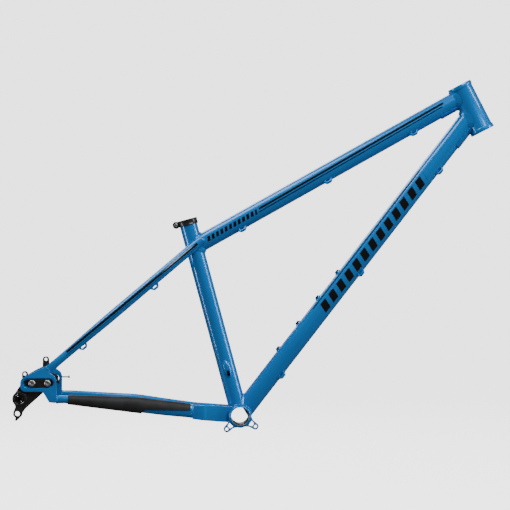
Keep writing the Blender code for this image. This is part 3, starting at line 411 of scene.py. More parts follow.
def blue_paint(name, graphics=None):
    """Gloss metallic paint under clear lacquer, with the tube's black graphics in it."""
    nodes = Nodes(name, BLUE_LIGHT, PAINT_METAL, 0.36)
    flake = nodes.remap(nodes.noise(5200.0, 1.0), 0.35, 0.65, 0.0, 1.0)
    drift = nodes.remap(nodes.noise(9.0, 3.0), 0.3, 0.7, 0.0, 1.0)
    share = nodes.math('ADD', nodes.math('MULTIPLY', flake, 0.18),
                       nodes.math('MULTIPLY', drift, 0.22))
    colour = nodes.mix(share, BLUE_LIGHT, BLUE_DEEP)
    metallic = PAINT_METAL
    if graphics:
        mask = graphics(nodes)
        colour = nodes.mix(mask, colour, GRAPHIC_BLACK)
        metallic = nodes.math('MULTIPLY', nodes.math('SUBTRACT', 1.0, mask), PAINT_METAL)
    peel = nodes.bump(nodes.noise(420.0, 2.0), 0.05, 0.0003)
    return nodes.finish(Base_Color=colour, Metallic=metallic, Normal=peel, Coat_Weight=1.0,
                        Coat_Roughness=0.06, Specular_IOR_Level=0.1)


def black_anodised(name):
    nodes = Nodes(name, (0.020, 0.020, 0.021), 0.5, 0.34)
    grain = nodes.noise(2600.0, 2.0)
    colour = nodes.mix(nodes.remap(nodes.noise(140.0, 3.0), 0.35, 0.7, 0.0, 1.0),
                       (0.018, 0.018, 0.019), (0.036, 0.035, 0.036))
    return nodes.finish(Base_Color=colour, Roughness=nodes.remap(grain, 0.3, 0.7, 0.28, 0.42),
                        Normal=nodes.bump(grain, 0.12, 0.0001), Coat_Weight=0.5,
                        Coat_Roughness=0.2)


def polished_steel(name):
    nodes = Nodes(name, (0.62, 0.60, 0.57), 1.0, 0.25)
    lathe = nodes.noise(900.0, 2.0, (1, 6, 1))
    smear = nodes.remap(nodes.noise(260.0, 3.0), 0.3, 0.75, 0.0, 1.0)
    colour = nodes.mix(smear, (0.66, 0.64, 0.61), (0.46, 0.44, 0.42))
    return nodes.finish(Base_Color=colour, Roughness=nodes.remap(lathe, 0.3, 0.7, 0.20, 0.36),
                        Normal=nodes.bump(lathe, 0.08, 0.0001))


def black_steel(name):
    nodes = Nodes(name, (0.020, 0.019, 0.020), 0.8, 0.32)
    wear = nodes.remap(nodes.noise(520.0, 3.0), 0.55, 0.75, 0.0, 1.0)
    colour = nodes.mix(wear, (0.016, 0.016, 0.018), (0.06, 0.056, 0.052))
    return nodes.finish(Base_Color=colour, Roughness=nodes.remap(wear, 0, 1, 0.26, 0.42))


def black_rubber(name):
    nodes = Nodes(name, (0.014, 0.014, 0.016), 0.0, 0.62)
    grain = nodes.noise(1500.0, 3.0)
    mottle = nodes.noise(60.0, 2.0)
    colour = nodes.mix(nodes.remap(mottle, 0.35, 0.65, 0, 1), (0.012, 0.012, 0.013),
                       (0.021, 0.021, 0.024))
    return nodes.finish(Base_Color=colour, Roughness=nodes.remap(grain, 0.3, 0.7, 0.50, 0.72),
                        Normal=nodes.bump(grain, 0.35, 0.0003), Specular_IOR_Level=0.45)


def bare_bore(name):
    """Machined and primed inside faces of the shell, head tube and seat tube."""
    nodes = Nodes(name, (0.30, 0.28, 0.26), 0.9, 0.35)
    rings = nodes.noise(1300.0, 2.0)
    colour = nodes.mix(rings, (0.20, 0.18, 0.165), (0.34, 0.32, 0.30))
    return nodes.finish(Base_Color=colour, Roughness=nodes.remap(rings, 0.3, 0.7, 0.28, 0.5))


# stripes: start and end along the tube, height of the middle, slope, width
# bars: start, end, height of the middle, width, pitch, share of the pitch that is black, slant
TOP_STRIPES = ((0.148, 0.569, 0.0029, 0.0102, 0.0042), (0.144, 0.564, -0.0027, 0.0107, 0.0022))
TOP_BARS = (0.030, 0.142, 0.0, 0.0095, 0.0098, 0.62, 0.35)
DOWN_STRIPE = (0.255, 0.602, 0.0143, 0.0, 0.0017)
DOWN_BARS = (0.268, 0.600, -0.0008, 0.0190, 0.0255, 0.62, 0.35)
STAY_STRIPES = ((0.050, 0.380, 0.0028, -0.0100, 0.0047),
                (0.045, 0.374, -0.0018, -0.0095, 0.0009))
SEATSTAY_FOOT = Vector((-0.3740, 0, 0.0946))
SEATSTAY_TIP = Vector((-0.0750, 0, 0.3482))
STAY_ALONG = (SEATSTAY_TIP - SEATSTAY_FOOT).normalized()


def tube_graphics(along, up, origin, stripes, bars):
    def build(nodes):
        distance, height = nodes.dot(along, origin), nodes.dot(up, origin)
        masks = [stripe_mask(nodes, distance, height, *stripe) for stripe in stripes]
        masks += [hatch_mask(nodes, distance, height, *bars)] if bars else []
        return reduce(lambda one, other: nodes.math('MAXIMUM', one, other), masks)
    return build


BADGE_AT = 0.046                # height of the plain oval badge on the head tube
BADGE_HALF = (0.0125, 0.0105)   # half its height and half its width


def badge_graphic(nodes):
    """A plain dark oval on the front of the head tube."""
    rise = nodes.dot(HEAD_UP, HEAD_BOTTOM + HEAD_UP * BADGE_AT)
    front = nodes.dot(Vector((HEAD_UP.z, 0, -HEAD_UP.x)), HEAD_BOTTOM)
    spread = nodes.dot(SIDE, CENTRE)
    squares = [nodes.math('POWER', nodes.math('ABSOLUTE', nodes.math('DIVIDE', value, half)), 2.0)
               for value, half in zip((rise, spread), BADGE_HALF)]
    inside = nodes.math('LESS_THAN', nodes.math('ADD', *squares), 1.0)
    return nodes.math('MULTIPLY', inside, nodes.math('GREATER_THAN', front, 0.0))


BLUE = blue_paint("blue_paint_gloss")
HEAD_BLUE = blue_paint("blue_paint_head_tube", badge_graphic)
TOP_BLUE = blue_paint("blue_paint_top_tube", tube_graphics(
    TOP_ALONG, TOP_UP, TOP_REAR, TOP_STRIPES, TOP_BARS))
DOWN_BLUE = blue_paint("blue_paint_down_tube", tube_graphics(
    DOWN_ALONG, DOWN_UP, CENTRE, (DOWN_STRIPE,), DOWN_BARS))
STAY_BLUE = blue_paint("blue_paint_seatstay", tube_graphics(
    STAY_ALONG, Vector((-STAY_ALONG.z, 0, STAY_ALONG.x)), SEATSTAY_FOOT, STAY_STRIPES, None))
BLACK = black_anodised("black_anodised_satin")
STEEL = polished_steel("polished_steel_turned")
DARK = black_steel("black_steel_oxide")
RUBBER = black_rubber("black_rubber_moulded")
BORE = bare_bore("machined_bore")


# --------------------------------------------------------------------------- mitred tubes
def first_hit(point, direction, cylinder):
    """Distance at which a line enters a cylinder, or None. A cylinder is origin, axis, radius."""
    origin, axis, radius = cylinder
    offset = point - origin
    offset = offset - axis * offset.dot(axis)
    travel = direction - axis * direction.dot(axis)
    a, b, c = travel.dot(travel), 2 * offset.dot(travel), offset.dot(offset) - radius ** 2
    root = b * b - 4 * a * c
    if root < 0:
        return None
    return (-b - math.sqrt(root)) / (2 * a)


HEAD = (HEAD_TOP, HEAD_UP, HEAD_TUBE_R)
SEAT = (CENTRE, SEAT_UP, TUBE_R)
TOP = (TOP_REAR, TOP_ALONG, TUBE_R)
DOWN = (CENTRE, DOWN_ALONG, DOWN_TUBE_R)
SHELL = (CENTRE, SIDE, SHELL_R)


def away(cylinder, point):
    """Outward direction of a cylinder's skin at a point."""
    origin, axis, _ = cylinder
    offset = point - origin
    return (offset - axis * offset.dot(axis)).normalized()


def mitre(tube, start, direction, neighbours):
    """The end ring of a tube whose lines run along a direction until they enter a neighbour.
    Gives each point, the tube's outward direction there and the neighbour's."""
    ring = []
    for radial in spokes(tube[1]):
        point = start + radial * tube[2]
        hits = [(first_hit(point, direction, item), item) for item in neighbours]
        reach, item = min(((hit, item) for hit, item in hits if hit is not None),
                          key=lambda pair: pair[0])
        place = point + direction * reach
        ring.append((place, radial, away(item, place)))
    return ring


RIPPLE_PITCH = 0.0026
RIPPLE = 0.00016
FULLNESS = 0.62                 # how far a bead's crown stands out, as a share of its leg
ROOT = 0.0006                   # how far a bead reaches under the skin
BUTT_HALF = 0.0016
BUTT_RISE = 0.0006
BUTT_SINK = 0.0001
TOP_LEG = 0.0036
DOWN_LEG = 0.0040
SEAT_LEG = 0.0038
LEFT_STAY_LEG = 0.0034
SEATSTAY_LEG = 0.0026
YOKE_LEG = 0.0026
BRIDGE_LEG = 0.0022
GUIDE_PLATE_LEG = 0.0014
BOSS_LEG = 0.0009


def bead(shape, ring, leg, closed=True):
    """A weld bead along a ring of (point, skin direction, wall direction): a band between the
    two skins, a little proud, with the faint ripples of a run made by hand."""
    count = len(ring)
    rows = []
    travelled = 0.0
    for index, (point, skin, wall) in enumerate(ring):
        before = ring[index - 1][0] if closed or index else point
        after = ring[(index + 1) % count][0] if closed or index < count - 1 else point
        travelled += (point - before).length if index else 0.0
        tangent = (after - before).normalized()
        along_skin = tangent.cross(skin).normalized()
        if along_skin.dot(wall) < 0:
            along_skin.negate()
        along_wall = tangent.cross(wall).normalized()
        if along_wall.dot(skin) < 0:
            along_wall.negate()
        opening = max(0.35, (along_skin + along_wall).length / 2)
        reach = leg * min(1.6, 0.75 / opening)
        start, end = point + along_skin * reach, point + along_wall * reach
        bulge = FULLNESS * reach + RIPPLE * math.sin(2 * math.pi * travelled / RIPPLE_PITCH)
        crown = point + (along_skin + along_wall) * bulge
        section = []
        for step in range(7):
            t = step / 6
            section.append(start * (1 - t) ** 2 + crown * 2 * t * (1 - t) + end * t ** 2)
        section.append(point - (skin + wall) * ROOT)
        rows.append(section)
    return grid(rows, closed, shape)


def butt_bead(shape, ring):
    """A raised run over a butt joint. The ring holds (point, skin direction)."""
    count = len(ring)
    rows = []
    travelled = 0.0
    for index, (point, skin) in enumerate(ring):
        before, after = ring[index - 1][0], ring[(index + 1) % count][0]
        travelled += (point - before).length if index else 0.0
        ahead = (after - before).normalized().cross(skin).normalized()
        rise = BUTT_RISE + RIPPLE * math.sin(2 * math.pi * travelled / RIPPLE_PITCH)
        section = []
        for step in range(9):
            turn = math.pi * step / 8
            section.append(point + ahead * (BUTT_HALF * math.cos(turn))
                           + skin * (rise * math.sin(turn) - BUTT_SINK))
        section.append(point - skin * ROOT)
        rows.append(section)
    return grid(rows, True, shape)


def fine(ring, steps):
    """A closed mitre ring with extra points between its own."""
    result = []
    for index, (point, skin, wall) in enumerate(ring):
        next_point, next_skin, next_wall = ring[(index + 1) % len(ring)]
        for step in range(steps):
            t = step / steps
            result.append((point.lerp(next_point, t), skin.lerp(next_skin, t).normalized(),
                           wall.lerp(next_wall, t).normalized()))
    return result


def main_tubes():
    """Top tube and down tube between their mitres, the seat tube with its bore, and welds."""
    welds = bmesh.new()
    clear = 0.1                 # mitres are traced from a place this far along the tube
    top_rear = mitre(TOP, TOP_FRONT - TOP_ALONG * clear, -TOP_ALONG, (SEAT,))
    top_front = mitre(TOP, TOP_REAR + TOP_ALONG * clear, TOP_ALONG, (HEAD,))
    down_rear = mitre(DOWN, DOWN_FRONT - DOWN_ALONG * clear, -DOWN_ALONG, (SHELL,))
    down_front = mitre(DOWN, DOWN_ALONG * clear, DOWN_ALONG, (HEAD,))
    seat_low = mitre(SEAT, SEAT_UP * 0.3, -SEAT_UP, (SHELL, DOWN))
    show("top_tube_skin", grid([[p for p, _, _ in top_rear], [p for p, _, _ in top_front]]),
         "frame", TOP_BLUE, "blue_paint", "top_tube")
    show("down_tube_skin", grid([[p for p, _, _ in down_rear], [p for p, _, _ in down_front]]),
         "frame", DOWN_BLUE, "blue_paint", "down_tube")
    for ring, leg in ((top_rear, TOP_LEG), (top_front, TOP_LEG), (down_rear, DOWN_LEG),
                      (down_front, DOWN_LEG), (seat_low, SEAT_LEG)):
        bead(welds, fine(ring, 4), leg)
    painted("main_welds", welds)
    top = SEAT_UP * (SEAT_LENGTH - 0.0005)
    rings = [[p for p, _, _ in seat_low]]
    rings += [[top + spoke * radius for spoke in spokes(SEAT_UP)]
              for radius in (TUBE_R, SEAT_BORE)]
    rings.append([p - skin * (TUBE_R - SEAT_BORE) for p, skin, _ in seat_low])
    tube = painted("seat_tube_skin", grid(rings, True), "seat_tube")
    slit = plate([stadium(0, 0.05, 0, SLIT_HALF, 12)], 0.012,
                 placed(SEAT_UP, SIDE, SEAT_UP * (SEAT_LENGTH - SLIT_LENGTH) + BEHIND * TUBE_R),
                 0.0001)
    cut(tube, slit)
    cut(tube, port_slot())


def head_tube():
    ring, step = HEAD_RING_HEIGHT, HEAD_RING_R - HEAD_TUBE_R
    edge, chamfer, flare = 0.0007, 0.0005, 1.6
    profile = [(HEAD_RING_R - edge, HEAD_LENGTH),
               (HEAD_RING_R - edge * 0.3, HEAD_LENGTH - edge * 0.3),
               (HEAD_RING_R, HEAD_LENGTH - edge)]
    for share in range(7):                     # from the upper ring down to the tube
        turn = share / 6
        drop = ring + step * flare * turn
        profile.append((HEAD_RING_R - step * (0.5 - 0.5 * math.cos(math.pi * turn)),
                        HEAD_LENGTH - drop))
    lower = [(radius, HEAD_LENGTH - height) for radius, height in reversed(profile)]
    profile += lower + [(HEAD_BORE + chamfer, 0), (HEAD_BORE, chamfer),
                        (HEAD_BORE, HEAD_LENGTH - chamfer), (HEAD_BORE + chamfer, HEAD_LENGTH)]
    piece = show("head_tube_skin", turned(profile, HEAD_BOTTOM, HEAD_UP, 128), "frame",
                 HEAD_BLUE, "blue_paint", "head_tube")
    bore_material(piece, HEAD_BOTTOM, HEAD_UP, HEAD_BORE + 0.0004)


def bore_material(piece, origin, axis, radius):
    """Gives the faces inside a bore the bare machined finish."""
    piece.data.materials.append(BORE)
    for face in piece.data.polygons:
        offset = face.center - origin
        distance = (offset - axis * offset.dot(axis)).length
        if distance < radius:
            face.material_index = 1


def bottom_bracket_shell():
    """The shell with its threads: 24 to the inch, shallow, in two runs from the faces."""
    edge, pitch, depth, chamfer = 0.0008, 0.00106, 0.00035, 0.0007
    run, start = 0.022, SHELL_HALF - 0.001      # length of a threaded run, and where it starts
    profile = [(SHELL_R - edge, SHELL_HALF), (SHELL_R - edge * 0.3, SHELL_HALF - edge * 0.3),
               (SHELL_R, SHELL_HALF - edge), (SHELL_R, edge - SHELL_HALF),
               (SHELL_R - edge * 0.3, edge * 0.3 - SHELL_HALF), (SHELL_R - edge, -SHELL_HALF),
               (SHELL_BORE + chamfer, -SHELL_HALF), (SHELL_BORE, chamfer - SHELL_HALF)]
    turns = int(run / pitch)
    inner = []
    for turn in range(turns):
        height = start - pitch * turn
        inner += [(SHELL_BORE, height), (SHELL_BORE + depth, height - pitch / 2)]
    inner.append((SHELL_BORE, start - pitch * turns))
    profile += [(radius, -height) for radius, height in inner]
    profile += list(reversed(inner)) + [(SHELL_BORE + chamfer, SHELL_HALF)]
    piece = painted("bottom_bracket_shell_skin", turned(profile, CENTRE, SIDE, 112),
                    "bottom_bracket_shell")
    bore_material(piece, CENTRE, SIDE, SHELL_BORE + 0.0006)


# --------------------------------------------------------------------------- rear triangle
# (x, distance from the centre plane, z, height, width) from the dropout forwards
CHAINSTAY = (
    (-0.3567, 0.0835, 0.0369, 0.0153, 0.0100),
    (-0.3380, 0.0820, 0.0369, 0.0153, 0.0140),
    (-0.3000, 0.0775, 0.0335, 0.0187, 0.0150),
    (-0.2500, 0.0690, 0.0288, 0.0232, 0.0155),
    (-0.2060, 0.0600, 0.0247, 0.0272, 0.0160),
    (-0.1500, 0.0490, 0.0172, 0.0275, 0.0160),
    (-0.0945, 0.0420, 0.0107, 0.0262, 0.0160),
)
LEFT_CHAINSTAY_FRONT = (
    (-0.0600, 0.0370, 0.0082, 0.0262, 0.0160),
    (-0.0160, 0.0290, 0.0055, 0.0262, 0.0160),
)
# (share of the way up, distance from the centre plane, height, width)
SEATSTAY = (
    (0.002, 0.0850, 0.0155, 0.0070),
    (0.06, 0.0825, 0.0155, 0.0125),
    (0.16, 0.0775, 0.0160, 0.0160),
    (0.37, 0.0680, 0.0190, 0.0190),
    (0.58, 0.0570, 0.0190, 0.0190),
    (0.74, 0.0440, 0.0190, 0.0190),
    (0.86, 0.0290, 0.0190, 0.0190),
    (0.94, 0.0200, 0.0190, 0.0190),
    (1.00, 0.0175, 0.0150, 0.0160),
)
STAY_STEPS = 10
CAP_HEIGHT = 0.0050             # of the dome that closes a seatstay's upper end
YOKE_THICK = 0.006
YOKE_HEIGHT = 0.0318            # at the shell
YOKE_FRONT_X = -0.0150
YOKE_FRONT_Z = 0.0043
YOKE_REAR_Y = 0.0400
YOKE_FRONT_Y = 0.0215
YOKE_BEND_X = -0.0700
YOKE_DROP = 0.0016
BRIDGE_R = 0.0070
LOW_BRIDGE = (-0.0480, 0, 0.0080)
LOW_BRIDGE_ENDS = (-0.0270, 0.0360)
HIGH_BRIDGE_SHARE = 0.745       # how far up the seatstays
HIGH_BRIDGE_HALF = 0.0385
HIGH_BRIDGE_STAY = (0.0440, -0.28, 0.0094)  # the stay there: its y, its lean and its radius


def between(rows, x):
    """The row of a stay at a given x, between its neighbours."""
    after = next(index for index, row in enumerate(rows) if row[0] >= x)
    low, high = rows[after - 1], rows[after]
    return low.lerp(high, (x - low[0]) / (high[0] - low[0]))


def stay_rings(rows, side, grow=0.0, angles=None):
    """Oval sections along a stay. Angles, in degrees, go from the outer side over the top."""
    centres = [Vector((row[0], side * row[1], row[2])) for row in rows]
    angles = angles or [360 * step / SMALL for step in range(SMALL)]
    rings = []
    for index, row in enumerate(rows):
        before, after = centres[max(index - 1, 0)], centres[min(index + 1, len(rows) - 1)]
        forward = (after - before).normalized()
        outward = forward.cross(Vector((0, 0, 1))).normalized()
        if outward.y * side < 0:
            outward.negate()
        up = (Vector((0, 0, 1)) - forward * forward.z).normalized()
        ring = []
        for angle in angles:
            turn = math.radians(angle)
            radial = outward * math.cos(turn) / (row[4] / 2) + up * math.sin(turn) / (row[3] / 2)
            ring.append((centres[index] + outward * (row[4] / 2 + grow) * math.cos(turn)
                         + up * (row[3] / 2 + grow) * math.sin(turn), radial.normalized()))
        rings.append(ring)
    return rings


def points_of(rings):
    return [[point for point, _ in ring] for ring in rings]


def cylinder_shape(cylinder, start, end, grow=0.0):
    origin, axis, radius = cylinder
    return rod(radius + grow, start, end, origin, axis, ROUND)


def seam(welds, rings, cylinder, leg):
    """Welds a stay that ends in a cylinder: a bead where its lines cross the cylinder's skin."""
    crossing = []
    for index in range(len(rings[0])):
        place = None
        for here, there in zip(rings, rings[1:]):
            start, end = here[index][0], there[index][0]
            inside = [(point - cylinder[0] - cylinder[1] * (point - cylinder[0]).dot(cylinder[1])
                       ).length - cylinder[2] for point in (start, end)]
            if inside[0] > 0 >= inside[1]:
                point = start.lerp(end, inside[0] / (inside[0] - inside[1]))
                place = (point, here[index][1], away(cylinder, point))
                break
        crossing.append(place)
    if None not in crossing:
        bead(welds, fine(crossing, 3), leg)
        return
    first = next(index for index in range(len(crossing))
                 if crossing[index] is not None and crossing[index - 1] is None)
    run = []
    for index in range(len(crossing)):
        place = crossing[(first + index) % len(crossing)]
        if place is None:
            break
        run.append(place)
    if len(run) > 3:
        bead(welds, fine(run, 3)[:-3], leg, closed=False)


def chainstays(welds):
    rows = smooth(CHAINSTAY, STAY_STEPS)
    rings = stay_rings(rows, DRIVE)
    painted("chainstay_right_skin", grid(points_of(rings)), "chainstay_right")
    end_weld(welds, rings[0])
    rings = stay_rings(smooth(CHAINSTAY + LEFT_CHAINSTAY_FRONT, STAY_STEPS), LEFT)
    left = painted("chainstay_left_skin", grid(points_of(rings)), "chainstay_left")
    cut(left, cylinder_shape(SHELL, -0.06, 0.06))
    end_weld(welds, rings[0])
    seam(welds, rings, SHELL, LEFT_STAY_LEG)


def end_weld(welds, ring):
    fine_ring = fine([(point, skin, skin) for point, skin in ring], 3)
    butt_bead(welds, [(point, skin) for point, skin, _ in fine_ring])


def seatstays(welds):
    stations = []
    for share, out, height, width in SEATSTAY:
        place = SEATSTAY_FOOT.lerp(SEATSTAY_TIP, share)
        stations.append((place.x, out, place.z, height, width))
    rows = smooth(stations, STAY_STEPS)
    for name, side in (("seatstay_right", DRIVE), ("seatstay_left", LEFT)):
        rings = stay_rings(rows, side)
        # a domed cap closes the upper end
        last, before = rings[-1], rings[-2]
        centre = sum((point for point, _ in last), CENTRE.copy()) / len(last)
        ahead = (centre - sum((point for point, _ in before), CENTRE.copy()) / len(last)
                 ).normalized()
        dome = []
        for step in range(1, 7):
            turn = math.radians(84 * step / 6)
            dome.append([(centre + (point - centre) * math.cos(turn)
                          + ahead * CAP_HEIGHT * math.sin(turn), skin) for point, skin in last])
        stay = show(name + "_skin", grid(points_of(rings + dome)), "frame", STAY_BLUE,
                    "blue_paint", name)
        cut(stay, cylinder_shape(SEAT, 0.2, 0.42, -GAP))
        cut(stay, cylinder_shape(TOP, 0.0, 0.2, -GAP))
        seam(welds, rings + dome, SEAT, SEATSTAY_LEG)
        end_weld(welds, rings[0])


def yoke():
    """The bent plate that carries the drive-side chainstay round the chainring."""
    rear = CHAINSTAY[-1]
    slope = (YOKE_FRONT_Z - rear[2]) / (YOKE_FRONT_X - rear[0])
    stations = ((rear[0] + 0.0006, 0.0276, YOKE_REAR_Y),
                (YOKE_BEND_X - 0.009, 0.0294, YOKE_REAR_Y - 0.0002),
                (YOKE_BEND_X - 0.001, 0.0300, YOKE_REAR_Y - 0.0016),
                (YOKE_BEND_X + 0.007, 0.0306, YOKE_REAR_Y - 0.0054),
                (-0.040, YOKE_HEIGHT, 0.0270), (-0.026, YOKE_HEIGHT, YOKE_FRONT_Y + 0.001),
                (YOKE_FRONT_X, YOKE_HEIGHT, YOKE_FRONT_Y - 0.001))
    half, edge = YOKE_THICK / 2, 0.0013
    rings = []
    for x, height, out in smooth(stations, 8):
        middle = rear[2] - YOKE_DROP + slope * (x - rear[0])
        section = rounded([(-half, -height / 2, edge), (half, -height / 2, edge),
                           (half, height / 2, edge), (-half, height / 2, edge)], 24)
        rings.append([Vector((x, DRIVE * (out + point.x), middle + point.y))
                      for point in section])
    piece = painted("chainstay_yoke_skin", grid(rings), "chainstay_yoke_right")
    cut(piece, cylinder_shape(SHELL, -0.06, 0.06, -OVERLAP))


def yoke_welds(welds):
    """Beads from the plate to the chainstay behind it and to the shell in front."""
    end_weld(welds, stay_rings(smooth(CHAINSTAY, STAY_STEPS), DRIVE)[-1])
    height = YOKE_HEIGHT
    run = []
    for x_side in (1, -1):
        face = DRIVE * (YOKE_FRONT_Y + x_side * YOKE_THICK / 2)
        steps = [(-height / 2 + height * step / 24) * x_side for step in range(25)]
        for rise in steps:
            z = YOKE_FRONT_Z - YOKE_DROP + rise
            x = -math.sqrt(max(SHELL_R ** 2 - z ** 2, 0.0))
            point = Vector((x, face, z))
            run.append((point, Vector((0, DRIVE * x_side, 0)), away(SHELL, point)))
    bead(welds, fine(run, 3), YOKE_LEG)


def bridges(welds):
    low = rod(BRIDGE_R, *LOW_BRIDGE_ENDS, LOW_BRIDGE, SIDE)
    painted("chainstay_bridge_skin", low, "chainstay_bridge")
    place = SEATSTAY_FOOT.lerp(SEATSTAY_TIP, HIGH_BRIDGE_SHARE)
    high = rod(BRIDGE_R, -HIGH_BRIDGE_HALF, HIGH_BRIDGE_HALF, place, SIDE)
    painted("seatstay_bridge_skin", high, "seatstay_bridge")
    stay_y, lean, stay_r = HIGH_BRIDGE_STAY
    for side in (DRIVE, LEFT):
        stay_axis = Vector((STAY_ALONG.x, side * lean, STAY_ALONG.z)).normalized()
        stay = (Vector((place.x, side * stay_y, place.z)), stay_axis, stay_r)
        ring = []
        for radial in spokes(SIDE, SMALL):
            start = place + radial * BRIDGE_R
            point = start + SIDE * side * first_hit(start, SIDE * side, stay)
            ring.append((point, radial, away(stay, point)))
        bead(welds, fine(ring, 3), BRIDGE_LEG)


SLEEVE_REAR = -0.3355
SLEEVE_FRONT = -0.0990
SLEEVE_STEP = -0.1930           # in front of this the sleeve covers only the lower half
SLEEVE_ANGLES = (-100, 120)     # degrees, from the outer side over the top
SLEEVE_THICK = 0.0018


def protector():
    """The moulded rubber sleeve of the drive-side chainstay."""
    stay = smooth(CHAINSTAY, 24)
    rear, front, step_x = SLEEVE_REAR, SLEEVE_FRONT, SLEEVE_STEP
    rows = ([between(stay, rear)] + [row for row in stay if rear < row[0] < front]
            + [between(stay, front)])
    low, high, edge_steps = *SLEEVE_ANGLES, 44
    angles = [low + (high - low) * step / edge_steps for step in range(edge_steps + 1)]
    outer = points_of(stay_rings(rows, DRIVE, SLEEVE_THICK, angles))
    inner = points_of(stay_rings(rows, DRIVE, OVERLAP, angles))
    count = len(rows)
    rings = []
    for index in range(count):
        # the sleeve thins towards its two ends, as a moulding does
        end = min(index, count - 1 - index)
        share = min(1.0, 0.45 + end * 0.28)
        skin = [inside.lerp(outside, share) for inside, outside in zip(inner[index], outer[index])]
        for lip in range(3):
            ease = (0.35, 0.75, 0.95)[lip]
            skin[lip] = inner[index][lip].lerp(skin[lip], ease)
            skin[-1 - lip] = inner[index][-1 - lip].lerp(skin[-1 - lip], ease)
        rings.append(skin + inner[index][::-1])
    piece = show("chainstay_protector_skin", grid(rings), "frame", RUBBER, "black_rubber",
                 "chainstay_protector")
    outline = rounded(((step_x, -0.03, 0), (front + 0.01, -0.03, 0), (front + 0.01, 0.0130, 0),
                       (step_x + 0.008, 0.0150, 0.004), (step_x, 0.0100, 0.004)))
    cut(piece, plate([outline], 0.06, side_view(DRIVE * 0.05), 0.0001))


# --------------------------------------------------------------------------- dropouts
SLIDER_IN = 0.0740
SLIDER_OUT = 0.0810
BOSS_OUT = 0.0830
HOOD_IN = 0.0813
HOOD_OUT = 0.0883
LEDGE = 0.0855
KEY_OUT = 0.0852
SLOT_Z = 0.0689
BOLT_X = (-0.4045, -0.3745)
BOLT_MID = sum(BOLT_X) / 2
KEY_R = 0.0060
KEY_HALF = (BOLT_X[1] - BOLT_X[0]) / 2 + KEY_R
CLAMP_HALF = 0.0220
CLAMP_R = 0.0088
CLAMP_OUT = 0.0876
BOLT_HOLE_R = 0.00425
SLOT_R = 0.0092
BOSS_R = 0.0143
SCREW_Y = 0.0840                # tension screws
SCREW_Z = 0.0714
SCREW_R = 0.0015
SCREW_PITCH = 0.0008
SCREW_HEAD_R = 0.0030
SCREW_HOLE_R = 0.0019
SCREW_NECKS = {-1: -0.3546, 1: -0.3448}     # where each head starts, by side
TRAVEL_BACK = 0.0100
TRAVEL_FRONT = 0.0050
HANGER_HOLE = (-0.4333, 0.0094)
BRAKE_TABS = ((-0.4318, 0.0775), (-0.3893, 0.1072))
HANGER_PAD = (0.0048, 0.0074, 0.0006)       # hole radius, pad radius, how far the pad stands out
BRAKE_PAD = (0.0031, 0.0054, -0.0006)
AXLE_BORES = {-1: 0.0098, 1: 0.0063}        # radius on the drive side and on the left
HOOD_OUTLINE = (
    (-0.4275, 0.0762, 0.012), (-0.4085, 0.0870, 0.020), (-0.3793, 0.1008, 0.0012),
    (-0.3691, 0.0885, 0.002), (-0.3600, 0.0815, 0.006), (-0.3573, 0.0745, 0.006),
    (-0.3573, 0.0300, 0.003), (-0.3715, 0.0315, 0.004), (-0.3835, 0.0520, 0.006),
    (-0.4275, 0.0522, 0.0110),
)
SLIDER_BAR = (
    (-0.3645, 0.0790, 0.0095), (-0.3645, 0.0595, 0.0095), (-0.3830, 0.0525, 0.006),
    (-0.3900, 0.0442, 0.010),
)
SLIDER_RIGHT_OUTLINE = SLIDER_BAR + (
    (-0.4175, 0.0192, 0.006), (-0.4232, 0.0115, 0.006), (-0.4248, 0.0048, 0.004),
    (-0.4355, -0.0052, 0.0015), (-0.4385, -0.0028, 0.0010), (-0.4366, 0.0012, 0.0016),
    (-0.4418, 0.0065, 0.0045), (-0.4412, 0.0125, 0.0045), (-0.4370, 0.0230, 0.006),
    (-0.4448, 0.0385, 0.010), (-0.4270, 0.0660, 0.006), (-0.4255, 0.0790, 0.008),
)
SLIDER_LEFT_OUTLINE = SLIDER_BAR + (
    (-0.4150, 0.0218, 0.013), (-0.4435, 0.0218, 0.0135), (-0.4435, 0.0480, 0.012),
    (-0.4372, 0.0690, 0.010), (-0.4376, 0.0834, 0.0056), (-0.4260, 0.0835, 0.0058),
    (-0.4250, 0.0745, 0.003), (-0.3960, 0.0850, 0.004), (-0.3955, 0.1132, 0.0056),
    (-0.3834, 0.1132, 0.0058), (-0.3825, 0.0985, 0.005), (-0.3790, 0.0790, 0.004),
)


def side_name(side):
    return "right" if side == DRIVE else "left"


def travel_stadium(half, radius):
    return stadium(BOLT_MID - half - TRAVEL_BACK - GAP, BOLT_MID + half + TRAVEL_FRONT + GAP,
                   SLOT_Z, radius, 32)


def bolt_holes():
    return [circle(x, SLOT_Z, BOLT_HOLE_R) for x in BOLT_X]


def dropout_hood(side):
    """The hood a slider runs in: a slotted wall, and a ledge behind the clamp plate."""
    name = side_name(side)
    wall = plate([rounded(HOOD_OUTLINE), travel_stadium(CLAMP_HALF, SLOT_R)],
                 HOOD_OUT - HOOD_IN, side_view(side * (HOOD_IN + HOOD_OUT) / 2), 0.0008)
    hood = painted(f"dropout_hood_{name}_wall", wall, f"dropout_hood_{name}")
    inside = (-0.370, side * SCREW_Y, SCREW_Z)
    cut(hood, rod(SCREW_HOLE_R, 0, 0.02, inside, (1, 0, 0), 32))
    floor = plate([travel_stadium(CLAMP_HALF, SLOT_R + GAP), travel_stadium(KEY_HALF, KEY_R + GAP)],
                  LEDGE - HOOD_IN, side_view(side * (HOOD_IN + LEDGE) / 2), 0.0003)
    painted(f"dropout_hood_{name}_ledge", floor)


